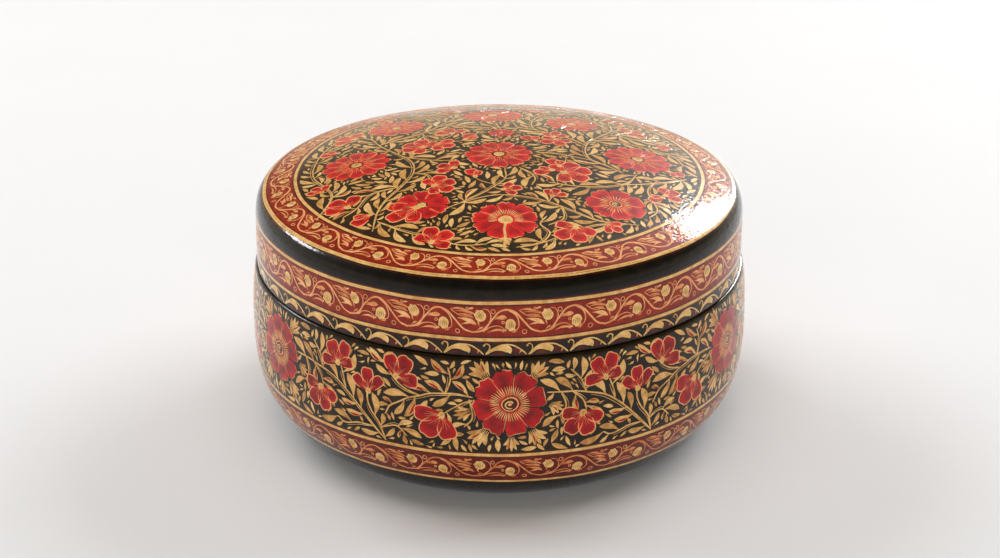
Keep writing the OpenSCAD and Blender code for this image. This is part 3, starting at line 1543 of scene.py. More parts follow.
class Painter:
    """Draws the motifs of Kashmiri flower painting, stroke by stroke."""

    VINE_WIDTH = 0.44
    TENDRIL_WIDTH = 0.3
    STALK_WIDTH = 0.32
    VEIN_WIDTH = 0.16
    SMALLER = (1.0, 0.84, 0.68, 0.52, 0.4)
    LEANS_DEG = (40, 62, 18, 90)
    LOBES = 5

    def __init__(
        self,
        work: dict[Coat, BrushWork],
        seed: int,
        shade: float = 0.0,
        petal_shade: float = 0.0,
        ground: Ground | None = None,
        blushing: float = 0.12,
    ) -> None:
        """Keeps the brushwork and a seeded hand.

        Args:
            work: Brushwork of each paint.
            seed: Seed of the hand's small differences.
            shade: How much lighter its strokes are.
            petal_shade: How much lighter its petals are.
            ground: Where the ground is bare, for a motif that is filled.
            blushing: Share of the leaves that are touched with red.
        """
        self.work = work
        self.hand = np.random.default_rng(seed)
        self.shade = shade
        self.petal_shade = petal_shade
        self.ground = ground
        self.blushing = blushing
        self.flow: list[np.ndarray] = []

    def jitter(self, spread: float) -> float:
        """A small difference from one stroke to the next."""
        return float(self.hand.uniform(-spread, spread))

    def nearest(self, spot: np.ndarray) -> np.ndarray:
        """The place and heading of the vine nearest to a spot."""
        flow = np.vstack(self.flow)
        return flow[np.argmin(((flow[:, :2] - spot) ** 2).sum(1))]

    def leaf(
        self,
        base: Sequence[float],
        angle: float,
        length: float,
        width: float,
        bend: float = 0.12,
        coat: Coat = Coat.GOLD,
        taper: Taper = Taper.BROAD_TIP,
        vein: bool = False,
        blush: bool = False,
    ) -> None:
        """One leaf, laid in one pull of the brush.

        Args:
            base: Where it springs from.
            angle: The way it points.
            length: Its length.
            width: Its width.
            bend: How far it bows, as a share of its length.
            coat: Its paint.
            taper: Its swell.
            vein: Whether a darker vein runs along it.
            blush: Whether its far half is touched with red.
        """
        t = np.linspace(0, 1, 8)
        line = np.stack([t * length, bend * length * np.sin(math.pi * t * 0.9)], 1)
        line = turned(line, angle, base)
        if self.ground is not None:
            s = np.linspace(0, 1, max(6, int(length / 0.2)))
            bow = bend * length * np.sin(math.pi * s * 0.9)
            for share in (-0.48, -0.24, 0.0, 0.24, 0.48):
                row = np.stack([s * length, bow + share * width * taper.shares(len(s))], 1)
                self.ground.mark(turned(row, angle, base), 0)
        self.work[coat].stroke(line, width, Lift.LEAF, taper, 0.5 + self.shade + self.jitter(0.4))
        if blush:
            touch = line[2:-1] + 0.16 * width * np.array([-math.sin(angle), math.cos(angle)])
            self.work[Coat.RED].stroke(touch, width * 0.42, Lift.STEM, Taper.LEAF, 0.3)
        if vein:
            self.work[Coat.MAROON].stroke(line[1:-2], self.VEIN_WIDTH, Lift.STEM, Taper.TAIL, 0.8)

    def stem(
        self, line: np.ndarray, width: float, coat: Coat = Coat.GOLD, taper: Taper = Taper.EVEN
    ) -> None:
        """A stem along a line.

        Args:
            line: Its flat points.
            width: Its width.
            coat: Its paint.
            taper: How it thins.
        """
        self.work[coat].stroke(line, width, Lift.STEM, taper, 0.55 + self.shade + self.jitter(0.2))
        if self.ground is not None:
            self.ground.mark(line)

    def vine(self, points: Sequence[Point]) -> None:
        """A stem, kept so that leaves can be set on it once all stems are drawn.

        Args:
            points: Points that it passes through.
        """
        line = spline(points, 8)
        tangent = np.gradient(line, axis=0)
        heading = np.unwrap(np.arctan2(tangent[:, 1], tangent[:, 0]))
        self.stem(line, self.VINE_WIDTH)
        across = np.stack([-np.sin(heading), np.cos(heading)], 1)
        rise = np.sin(math.pi * np.linspace(0, 1, len(line)))[:, None]
        share = len(line) * 2 // 3
        self.stem((line + across * rise * 0.62)[:share], self.TENDRIL_WIDTH, taper=Taper.TAIL)
        self.flow.append(np.column_stack([line, heading]))

    def leaves(self, length: float, gap: float, broad: float, lean_deg: float, bend: float = 0.13) -> None:
        """Sets leaves in turn on either side of every stem, each where it has room.

        Args:
            length: Length of the leaves.
            gap: Distance between leaves on one side.
            broad: Width of a leaf as a share of its length.
            lean_deg: Angle between a leaf and its stem.
            bend: How far a leaf bows.
        """
        for stem in self.flow:
            gaps = np.linalg.norm(np.diff(stem[:, :2], axis=0), axis=1)
            lengths = np.concatenate([[0], np.cumsum(gaps)])
            for k, at in enumerate(np.arange(0.9, lengths[-1] + 0.2, gap / 2)):
                side = 1 if k % 2 else -1
                x, y, heading = (float(np.interp(at, lengths, column)) for column in stem.T)
                size = length * (1 + self.jitter(0.14))
                self.set_leaf((x, y), heading, side, size, broad, lean_deg, bend)

    def set_leaf(
        self,
        base: Point,
        heading: float,
        side: int,
        length: float,
        broad: float,
        lean_deg: float,
        bend: float,
    ) -> None:
        """Sets one leaf, smaller or closer to its stem where there is less room.

        Args:
            base: Where it springs from.
            heading: The stem's direction there.
            side: 1 for the left of the stem, -1 for its right.
            length: Its length.
            broad: Its width as a share of its length.
            lean_deg: Angle between it and the stem.
            bend: How far it bows.
        """
        t = np.linspace(0, 1, 9)
        swell = np.sin(math.pi * t**1.6) * (t > 0.24)
        for share in self.SMALLER:
            for extra in (0, 9, -8, 18):
                angle = heading + side * math.radians(lean_deg + extra + self.jitter(3))
                size = length * share
                width = size * (broad + 0.25 * (1 - share) * broad)
                line = np.stack([t * size, side * bend * size * np.sin(math.pi * t * 0.9)], 1)
                half = np.stack([0 * t, swell * (width / 2 + 0.2)], 1)
                probe = np.vstack([line[t > 0.3], (line + half)[t > 0.24], (line - half)[t > 0.24]])
                if self.ground.bare(turned(probe, angle, base)):
                    vein = self.hand.random() < 0.2
                    blush = share > 0.6 and self.hand.random() < self.blushing
                    self.leaf(base, angle, size, width, side * bend, vein=vein, blush=blush)
                    return

    def rosette(self, flower: Rosette) -> None:
        """A large flower: lobed petals, their edges and folds, stamens and a knot.

        Args:
            flower: Its place, size and kind.
        """
        middle = (flower.x, flower.y)
        for k in range(flower.petals):
            self.large_petal(flower, k)
        for k in range(flower.stamens):
            turn = k * TURN / flower.stamens + self.jitter(0.02)
            if flower.hanging and math.sin(turn) < -0.3:
                continue
            start = flower.radius * 0.27
            stop = flower.radius * (0.54 + self.jitter(0.012))
            line = ray(middle, turn, (start, (start + stop) / 2, stop))
            self.work[Coat.GOLD].stroke(line, 0.25, Lift.LINE, Taper.EVEN, 0.85)
        if flower.hanging:
            self.pendant(middle, flower.radius)
        else:
            self.knot(middle, flower.radius * (0.2 if flower.stamens else 0.17), bool(flower.stamens))

    def large_petal(self, flower: Rosette, k: int) -> None:
        """One lobed petal of a large flower, with its edge, the fold after it and its pleats.

        Args:
            flower: The flower.
            k: Which petal it is.
        """
        middle = (flower.x, flower.y)
        half = math.pi / flower.petals
        at = math.radians(flower.turn_deg) + k * 2 * half + self.jitter(0.03)
        reach = flower.radius * (1 + self.jitter(0.035))
        share = np.linspace(-1, 1, 17)
        bulge = (1 - np.abs(share) ** 3.2) ** 0.45
        notch = 0.05 * np.exp(-((share / 0.16) ** 2)) * (1 - flower.pointed)
        ripple = 0.022 * np.cos(share * math.pi * 3.5 + k) - notch
        point = flower.pointed * 0.1 * (1 - np.abs(share)) ** 1.5
        r = reach * (0.8 + 0.2 * bulge + ripple + point)
        phi = at + share * half * 1.01
        rim = np.stack([r * np.cos(phi), r * np.sin(phi)], 1) + middle
        root = flower.radius * 0.2
        inner = np.vstack([ray(middle, turn, [root]) for turn in (at + half, at, at - half)])
        core = ray(middle, at, [0.58 * reach])[0]
        tone = 0.55 + self.petal_shade + self.jitter(0.12)
        self.work[Coat.RED].wash(np.vstack([rim, inner]), core, Lift.PETAL, tone)
        first, last = sorted(self.hand.integers(0, 17, 2))
        if last - first > 4:
            self.work[Coat.ROSE_GOLD].stroke(rim[first:last], 0.3, Lift.LINE, Taper.EVEN, 0.6)
        else:
            self.work[Coat.ROSE_GOLD].stroke(rim[1:-1], 0.22, Lift.LINE, Taper.LEAF, 0.5)
        fold = ray(middle, at + half, [flower.radius * s for s in (0.42, 0.66, 0.9)])
        if flower.pointed or self.hand.random() < 0.45:
            self.work[Coat.ROSE_GOLD].stroke(fold, 0.2, Lift.LINE, Taper.TAIL, 0.6)
        else:
            self.work[Coat.MAROON].stroke(fold, 0.22, Lift.LINE, Taper.TAIL, 0.1)
        for offset in (-0.45, 0.0, 0.45):
            self.pleat(flower, at + offset * half)

    def pleat(self, flower: Rosette, turn: float) -> None:
        """A fine line along a large flower's petal.

        Args:
            flower: The flower.
            turn: The way it runs from the flower's middle.
        """
        if flower.pointed:
            start, stop = 0.26, 0.62 + self.jitter(0.1)
        else:
            start, stop = 0.6, 0.78 + self.jitter(0.06)
        shares = (start, (start + stop) / 2, stop)
        line = ray((flower.x, flower.y), turn, [flower.radius * s for s in shares])
        if flower.pointed:
            self.work[Coat.ROSE_GOLD].stroke(line, 0.17, Lift.LINE, Taper.TAIL, 0.5)
        else:
            self.work[Coat.MAROON].stroke(line, 0.13, Lift.LINE, Taper.LEAF, 0.2)

    def pendant(self, middle: Point, radius: float) -> None:
        """The golden heart and stem of a flower that hangs from above.

        Args:
            middle: The flower's middle.
            radius: The flower's radius.
        """
        x, y = middle
        self.disc((x, y - 0.2), radius * 0.235, Coat.GOLD, Lift.KNOT, 0.85)
        self.ring((x + 0.3, y), radius * 0.09, 0.22, Coat.ROSE_GOLD, Lift.KNOT, 12)
        tip = (x - 0.4, y - 1.6 * radius)
        stem = spline([(x, y - 1.2), (x - 0.3, y - 0.55 * radius), (x - 0.1, y - radius), tip])
        self.work[Coat.GOLD].stroke(stem, 0.75, Lift.KNOT, Taper.EVEN, 0.7)
        start = (x - 0.1, y - 0.95 * radius)
        for turn in (-118, -62, -90, -140, -40):
            bend = 0.12 * (1 if turn > -90 else -1)
            self.leaf(start, math.radians(turn), 3.0 - abs(turn + 90) / 45, 0.8, bend)

    def ring(
        self, middle: Point, radius: float, width: float, coat: Coat, lift: Lift, count: int = 22
    ) -> None:
        """A small drawn ring.

        Args:
            middle: Its middle.
            radius: Its radius.
            width: Width of its line.
            coat: Its paint.
            lift: The coat that it belongs to.
            count: How many points it is drawn with.
        """
        t = np.linspace(0, TURN, count, endpoint=False)
        line = np.stack([np.cos(t), np.sin(t)], 1) * radius + middle
        self.work[coat].stroke(line, width, lift, Taper.EVEN, 0.6, closed=True)

    def disc(self, middle: Point, radius: float, coat: Coat, lift: Lift, tone: float = 0.6) -> None:
        """A small filled dot.

        Args:
            middle: Its middle.
            radius: Its radius.
            coat: Its paint.
            lift: The coat that it belongs to.
            tone: Its shade.
        """
        t = np.linspace(0, TURN, 14, endpoint=False)
        uneven = 1 + 0.06 * np.sin(3 * t + self.jitter(3))
        line = np.stack([np.cos(t), np.sin(t)], 1) * (radius * uneven)[:, None] + middle
        self.work[coat].wash(line, middle, lift, tone)

    def knot(self, middle: Point, radius: float, open_rings: bool) -> None:
        """The heart of a large flower.

        Args:
            middle: Its middle.
            radius: Its radius.
            open_rings: Whether it is drawn as rings over a dark eye, or filled with gold.
        """
        if not open_rings:
            self.disc(middle, radius, Coat.GOLD, Lift.KNOT, 0.8)
            return
        self.disc(middle, radius * 1.15, Coat.MAROON, Lift.LINE, 0.3)
        self.ring(middle, radius, radius * 0.2, Coat.GOLD, Lift.KNOT)
        t = np.linspace(0.4, 1.55 * math.pi + 0.4, 16)
        curl = np.stack([np.cos(t), np.sin(t)], 1) * (radius * np.linspace(0.36, 0.66, 16))[:, None] + middle
        self.work[Coat.GOLD].stroke(curl, radius * 0.26, Lift.KNOT, Taper.EVEN, 0.7)
        self.disc(middle, radius * 0.24, Coat.GOLD, Lift.KNOT, 0.8)

    def petal(self, base: Point, angle: float, length: float, width: float) -> None:
        """One petal of a small flower, edged and lined.

        Args:
            base: Where it springs from.
            angle: The way it points.
            length: Its length.
            width: Its width.
        """
        t = np.linspace(0, TURN, 20, endpoint=False)
        along = 0.5 - 0.5 * np.cos(t)
        notch = -0.07 * np.exp(-(((t - math.pi) / 0.35) ** 2))
        swell = 0.5 * np.sin(t) * (0.62 + 0.75 * along) / 1.05
        edge = np.stack([length * (along + notch), width * swell], 1)
        edge[:, 1] *= 1 + 0.035 * np.sin(5 * t + self.jitter(3))
        placed = turned(edge, angle, base)
        middle = turned(np.array([[0.6 * length, 0.0]]), angle, base)[0]
        tone = 0.6 + self.petal_shade + self.jitter(0.2)
        self.work[Coat.RED].wash(placed, middle, Lift.PETAL, tone)
        self.work[Coat.ROSE_GOLD].stroke(placed[4:17], 0.3 + self.jitter(0.05), Lift.LINE, Taper.EVEN, 0.75)
        for lean in (-0.3, 0.0, 0.3):
            reach = length * (0.5 + self.jitter(0.1))
            s = np.linspace(0.12, 1, 4)
            vein = np.stack([s * reach, lean * width * s**1.2 * 0.6], 1)
            self.work[Coat.ROSE_GOLD].stroke(turned(vein, angle, base), 0.15, Lift.LINE, Taper.TAIL, 0.5)

    def flower(self, flower: Flower) -> None:
        """A small flower on its calyx.

        Args:
            flower: Its place, size and kind.
        """
        base = flower.calyx
        facing = math.radians(flower.facing_deg)
        for petal in sorted(flower.kind.value, key=lambda p: -abs(p.angle_deg)):
            angle = facing + math.radians(petal.angle_deg + self.jitter(5))
            length = petal.length * flower.size * (1 + self.jitter(0.06))
            self.petal(base, angle, length, petal.width * flower.size * 1.05)
        reach = 0.2 * flower.size
        for turn in (-0.6, 0.0, 0.6):
            tip = (base[0] + reach * math.cos(facing + turn), base[1] + reach * math.sin(facing + turn))
            ends = np.array([base, tip])
            line = np.vstack([ends[0], ends.mean(0), ends[1]])
            self.work[Coat.GOLD].stroke(line, 0.5, Lift.KNOT, Taper.DROP, 0.8)
        self.disc(base, 0.1 * flower.size + 0.15, Coat.GOLD, Lift.KNOT, 0.8)

    def tuft(
        self, middle: Point, facing_deg: float, radius: float, count: int, spread_deg: float, size: float
    ) -> None:
        """A fan of comma strokes round a flower, each where it has room.

        Args:
            middle: The flower's middle.
            facing_deg: The way the fan opens.
            radius: Distance at which the strokes start.
            count: How many there are.
            spread_deg: How wide the fan is.
            size: Length of each.
        """
        for k in range(count):
            turn = math.radians(facing_deg + spread_deg * (k / (count - 1) - 0.5))
            start = ray(middle, turn, [radius])[0]
            reach = size * (1 + self.jitter(0.2))
            if not self.ground.bare(ray(start, turn, [s * reach for s in (0.3, 0.65, 1.0)])):
                continue
            self.leaf(start, turn, reach, 0.62 + self.jitter(0.1), self.jitter(0.15), taper=Taper.DROP)

    def palmette(self, base: Point, facing_deg: float, length: float) -> None:
        """A spiky leaf cluster drawn as broad strokes from one base.

        Args:
            base: Where it springs from.
            facing_deg: The way it points.
            length: Its length.
        """
        across = math.radians(facing_deg + 90)
        for k in range(self.LOBES):
            share = k / (self.LOBES - 1) * 2 - 1
            angle = math.radians(facing_deg + share * 34)
            reach = length * (1 - 0.3 * share * share + self.jitter(0.06))
            start = ray(base, across, [0.16 * length * share])[0]
            self.leaf(start, angle, reach, length * 0.24, -0.16 * share, vein=k % 2 == 1, blush=k == 1)

    def fill(self, sizes: Sequence[Point], tries: int, clearance: float) -> None:
        """Fills bare ground with leaves that follow the nearest vine.

        Args:
            sizes: Length and width of each size of leaf, the largest first.
            tries: Places tried for each size.
            clearance: Bare ground kept round each leaf.
        """
        ground = self.ground
        for length, width in sizes:
            spots = self.hand.uniform(ground.low, ground.high, (tries, 2))
            turns = self.hand.uniform(-0.3, 0.3, tries)
            t = np.linspace(0, 1, max(4, int(length / 0.45)))
            along = np.stack([t * length - length / 2, np.zeros_like(t)], 1)
            half = (width / 2 + clearance) * np.sin(math.pi * np.clip(t, 0.08, 0.92))
            swell = np.stack([0 * t, half], 1)
            probe = np.vstack([along, along + swell, along - swell])
            for spot, turn in zip(spots, turns):
                if not ground.bare(spot[None, :]):
                    continue
                x, y, heading = self.nearest(spot)
                left = math.cos(heading) * (spot[1] - y) - math.sin(heading) * (spot[0] - x) > 0
                side = 1 if left else -1
                for lean in self.LEANS_DEG:
                    angle = heading + side * math.radians(lean) + turn
                    if ground.bare(turned(probe, angle, spot)):
                        base = turned(np.array([[-length / 2, 0.0]]), angle, spot)[0]
                        size = length * (1 + self.jitter(0.08))
                        taper = Taper.LEAF if length > 2 else Taper.DROP
                        vein = length > 3 and self.hand.random() < 0.3
                        self.leaf(base, angle, size, width, side * -0.05, taper=taper, vein=vein)
                        break

    def join(self, flower: Flower) -> None:
        """Draws the stem from a flower's calyx to the nearest vine.

        Args:
            flower: The flower.
        """
        base = np.array(flower.calyx)
        near = self.nearest(base)[:2]
        facing = math.radians(flower.facing_deg)
        back = base - 0.4 * math.dist(base, near) * np.array([math.cos(facing), math.sin(facing)])
        t = np.linspace(0, 1, 9)[:, None]
        self.stem((1 - t) ** 2 * near + 2 * t * (1 - t) * back + t**2 * base, self.STALK_WIDTH)


@dataclass(frozen=True)
class ScrollBand:
    """A running scroll of curling stems, buds and small leaves on a red band."""

    middle: float
    half: float
    repeats: int
    seed: int
    round_length: float = ROUND_SIDE
    shade: float = 0.0

    OFFSET = 1.5
    DRIFT = 0.1
    DRAWN_LENGTH = 15.8
    DRAWN_HALF = 3.1
    MAIN = (
        (-7.4, -2.7), (-5.0, -2.0), (-3.3, 0.2), (-1.6, 2.2), (0.4, 2.8), (2.4, 2.1), (4.2, 0.2), (6.2, -1.9),
        (8.4, -2.7),
    )
    CURLS = (
        (((1.0, 2.6), (2.4, 1.7), (3.15, 0.4), (3.3, -0.9), (2.8, -1.8), (2.1, -1.9)), 0.46),
        (((8.0, -2.7), (10.4, -2.1), (12.0, -0.4), (12.35, 1.3), (11.7, 2.6), (10.6, 2.9)), 0.46),
        (((-5.2, -2.4), (-3.6, -1.4), (-1.8, -1.1), (-0.4, -1.8), (-0.5, -2.7)), 0.36),
        (((3.2, 2.5), (5.0, 1.3), (6.8, 1.0), (8.0, 1.7)), 0.28),
        (((-2.6, 0.9), (-1.5, 1.2), (-0.4, 0.9)), 0.26),
    )
    LEAVES = (
        ((3.0, 2.6), -4, 3.4, 0.62), ((3.9, 2.1), -8, 4.6, 0.72), ((4.6, 1.5), -14, 3.6, 0.66),
        ((4.8, 0.6), -22, 4.2, 1.25), ((-4.2, -2.6), 6, 3.6, 0.6), ((-3.4, -2.3), -2, 3.4, 0.62),
        ((-2.6, 0.5), 8, 2.9, 1.3), ((6.9, 2.6), 18, 1.5, 0.5), ((-1.0, -2.5), 20, 1.3, 0.5),
        ((5.6, -0.9), 8, 1.9, 0.5), ((9.2, -2.2), 30, 1.6, 0.5), ((-6.0, -1.2), 100, 1.6, 0.45),
    )
    BUDS = (((1.2, -0.75), -100, 1.42), ((9.9, 1.3), 120, 1.42))
    RINGS = (((12.9, 2.35), 0.5), ((4.6, -2.45), 0.5), ((6.9, 2.9), 0.28), ((-0.6, -0.2), 0.3))
    CROWN = (1.9, -1.9)

    @property
    def period(self) -> float:
        """Length of one repeat."""
        return self.round_length / self.repeats

    @property
    def tall(self) -> float:
        """How much taller the band is than it was drawn."""
        return self.half / self.DRAWN_HALF

    def place(self, points: Sequence[Point]) -> list[Point]:
        """Stretches drawn points to the band.

        Args:
            points: Points as drawn round the scroll's crest.

        Returns:
            The points on the band.
        """
        wide = self.period / self.DRAWN_LENGTH
        return [(u * wide, self.middle + v * self.tall) for u, v in points]

    def one(self) -> dict[Coat, BrushWork]:
        """Draws one repeat.

        Returns:
            Its brushwork, in each paint.
        """
        work = fresh_work()
        painter = Painter(work, self.seed, self.shade)
        tall = self.tall
        rose = Coat.ROSE_GOLD
        painter.stem(spline(self.place(self.MAIN), 7), 0.46, rose)
        for curl, width in self.CURLS:
            painter.stem(spline(self.place(curl), 6), width, rose, Taper.TAIL)
        for point, turn, length, width in self.LEAVES:
            base = self.place([point])[0]
            painter.leaf(base, math.radians(turn), length * tall, width * tall, 0.1, rose)
        for point, turn, size in self.BUDS:
            self.bud(painter, self.place([point])[0], math.radians(turn), size * tall)
        for point, radius in self.RINGS:
            painter.ring(self.place([point])[0], radius * tall, 0.2, rose, Lift.STEM, 12)
        for turn in np.linspace(-30, 90, 4):
            painter.leaf(self.place([self.CROWN])[0], math.radians(turn - 120), 0.9, 0.34, 0, rose)
        return work

    @staticmethod
    def bud(painter: Painter, middle: Point, facing: float, size: float) -> None:
        """A striped bud with a ragged edge.

        Args:
            painter: The painter.
            middle: Its middle.
            facing: The way its ragged edge faces.
            size: Its radius.
        """
        t = np.linspace(0, TURN, 22, endpoint=False)
        ragged = 1 + 0.13 * np.cos(7 * t) * (np.cos(t) > 0.1)
        edge = np.stack([np.cos(t) * 1.05, np.sin(t) * 0.92], 1) * (size * ragged)[:, None]
        painter.work[Coat.GOLD].wash(turned(edge, facing, middle), middle, Lift.STEM, 1.25 + painter.shade)
        for lean in (-0.5, -0.17, 0.17, 0.5):
            line = np.array([[-0.45, lean * 0.9], [0.15, lean * 1.1], [0.72, lean]]) * size
            painter.work[Coat.MAROON].stroke(turned(line, facing, middle), 0.15, Lift.PETAL, Taper.LEAF, 0.9)

    def paint(self, work: dict[Coat, BrushWork]) -> None:
        """Repeats the scroll round its band."""
        run_round(self.one(), work, np.arange(self.repeats) * self.period + self.OFFSET, self.DRIFT)


@dataclass(frozen=True)
class HookBand:
    """The low border of the lid: arched leaves between small hooks."""

    foot: float = 49.9
    repeats: int = 40
    offset: float = 1.8
    seed: int = 31
    drift: float = 0.12

    ARCH = ((-4.7, 0.0), (-3.4, 1.4), (-1.4, 2.45), (1.2, 2.4), (3.2, 1.3), (4.6, 0.0))
    LEAF = ((-4.3, 0.2), (-2.6, 1.45), (-0.8, 1.75), (0.5, 1.25), (0.9, 0.35))
    SHADE_AFTER = ((1.4, 0.05), (1.7, 1.9), (3.2, 1.0), (4.2, 0.05))
    SHADE_BELOW = ((-3.6, 0.05), (-2.4, 0.8), (-0.9, 0.8), (-0.2, 0.05))
    HOOK = ((5.0, 0.0), (5.9, 1.2), (6.0, 2.3), (5.3, 2.8), (4.7, 2.4))

    def curve(self, points: Sequence[Point], steps: int) -> np.ndarray:
        """A smooth line on the border."""
        return spline([(u, self.foot + v) for u, v in points], steps)

    def paint(self, work: dict[Coat, BrushWork]) -> None:
        """Repeats the border round the lid.

        Args:
            work: The brushwork that it goes to.
        """
        one = fresh_work()
        painter = Painter(one, self.seed)
        low = self.foot
        painter.stem(self.curve(self.ARCH, 6), 0.4)
        one[Coat.GOLD].stroke(self.curve(self.LEAF, 4), 1.95, Lift.STEM, Taper.BROAD_TIP, 0.75)
        one[Coat.MAROON].wash(self.curve(self.SHADE_AFTER, 4), (2.5, low + 0.6), Lift.WASH, 0.6)
        one[Coat.MAROON].wash(self.curve(self.SHADE_BELOW, 4), (-1.9, low + 0.3), Lift.WASH, 0.6)
        painter.stem(self.curve(self.HOOK, 5), 0.34)
        painter.disc((4.75, low + 2.3), 0.27, Coat.GOLD, Lift.STEM)
        painter.leaf((3.0, low + 0.2), math.radians(60), 1.1, 0.4, 0.1)
        step = ROUND_SIDE / self.repeats
        run_round(one, work, np.arange(self.repeats) * step + self.offset, self.drift)


@dataclass(frozen=True)
class Frieze:
    """The broad band of flowers round the body, six repeats long."""

    low: float = 24.5
    high: float = 48.5
    repeats: int = 6
    offset: float = 2.5
    seed: int = 7
    shade: float = -0.1
    blushing: float = 0.3
    drift: float = 0.14

    ROSE_AT = (0.0, 37.6)
    FLOWERS = (
        Flower(22.8, 45.2, 6.2, 92, Opening.QUAD),
        Flower(31.6, 40.4, 6.4, 88, Opening.TULIP),
        Flower(41.0, 44.8, 6.4, 50, Opening.TRIPLE),
        Flower(16.4, 30.4, 6.9, -104, Opening.QUAD),
        Flower(47.8, 31.0, 7.4, -128, Opening.TRIPLE),
    )
    VINES = (
        ((36.0, 24.7), (33.0, 28.2), (29.6, 31.9), (26.0, 35.3), (22.4, 37.8), (17.6, 39.3),
         (12.4, 40.0), (8.6, 40.1)),
        ((36.0, 24.7), (34.8, 28.8), (32.6, 31.9), (31.4, 34.6), (31.2, 37.4)),
        ((25.4, 36.2), (24.6, 39.4), (23.6, 42.4)),
        ((14.6, 39.6), (17.0, 37.4), (18.0, 34.6)),
        ((57.4, 39.2), (52.4, 39.8), (47.4, 39.3), (42.6, 37.6), (38.0, 34.9), (35.8, 32.0)),
        ((44.8, 38.6), (41.0, 39.8), (38.0, 42.4), (36.2, 46.2)),
        ((57.4, 38.4), (54.0, 37.0), (51.0, 34.6)),
        ((34.9, 28.0), (38.6, 29.4), (41.4, 27.0)),
        ((33.2, 28.0), (29.0, 27.8), (24.6, 26.6), (22.6, 27.6)),
        ((50.8, 39.6), (52.2, 43.2), (51.6, 46.4)),
        ((18.4, 39.1), (17.0, 42.6), (14.6, 45.4)),
        ((12.0, 40.0), (13.2, 36.4), (11.6, 33.6)),
        ((56.6, 38.6), (57.2, 34.0), (55.6, 31.4)),
    )

    def inside(self, points: np.ndarray) -> np.ndarray:
        """Which points lie on the band."""
        return (points[:, 1] > self.low) & (points[:, 1] < self.high)

    def paint(self, work: dict[Coat, BrushWork]) -> None:
        """Paints one repeat and runs it round the body.

        Args:
            work: The brushwork that it goes to.
        """
        one = fresh_work()
        step = ROUND_SIDE / self.repeats
        ground = Ground((0.0, self.low), (step, self.high), True, self.inside)
        painter = Painter(one, self.seed, self.shade, self.shade, ground, self.blushing)
        rose = Rosette(*self.ROSE_AT, 8.5, petals=8, stamens=46, turn_deg=12)
        ground.mark_disc(rose.x, rose.y, rose.radius)
        ground.mark_disc(rose.x + step, rose.y, rose.radius)
        for flower in self.FLOWERS:
            ground.mark_disc(flower.x, flower.y, flower.size * 0.52)
        for points in self.VINES:
            painter.vine(points)
        for flower in self.FLOWERS:
            painter.join(flower)
        for base, facing, length in (
            ((5.4, 44.2), 52, 4.6), ((step - 5.4, 44.2), 128, 4.8), ((step - 5.6, 30.8), 232, 5.2),
            ((5.2, 30.6), 300, 4.8), ((0.3, 28.9), 270, 3.8), ((9.4, 37.0), -32, 3.6),
            ((step - 9.2, 35.6), 200, 3.8),
        ):
            painter.palmette(base, facing, length)
        painter.leaves(5.8, 2.9, 0.36, 30)
        painter.leaves(4.0, 2.4, 0.38, 50)
        for flower in self.FLOWERS:
            painter.tuft(flower.calyx, flower.facing_deg, flower.size * 1.04, 7, 150, 1.8)
        painter.tuft(self.ROSE_AT, 90, 9.0, 4, 44, 1.8)
        painter.tuft(self.ROSE_AT, 270, 9.2, 6, 80, 1.5)
        painter.fill(((3.8, 1.45), (3.0, 1.15), (2.2, 0.9), (1.6, 0.66)), 2400, 0.2)
        painter.rosette(rose)
        for flower in self.FLOWERS:
            painter.flower(flower)
        run_round(one, work, np.arange(self.repeats) * step + self.offset, self.drift)


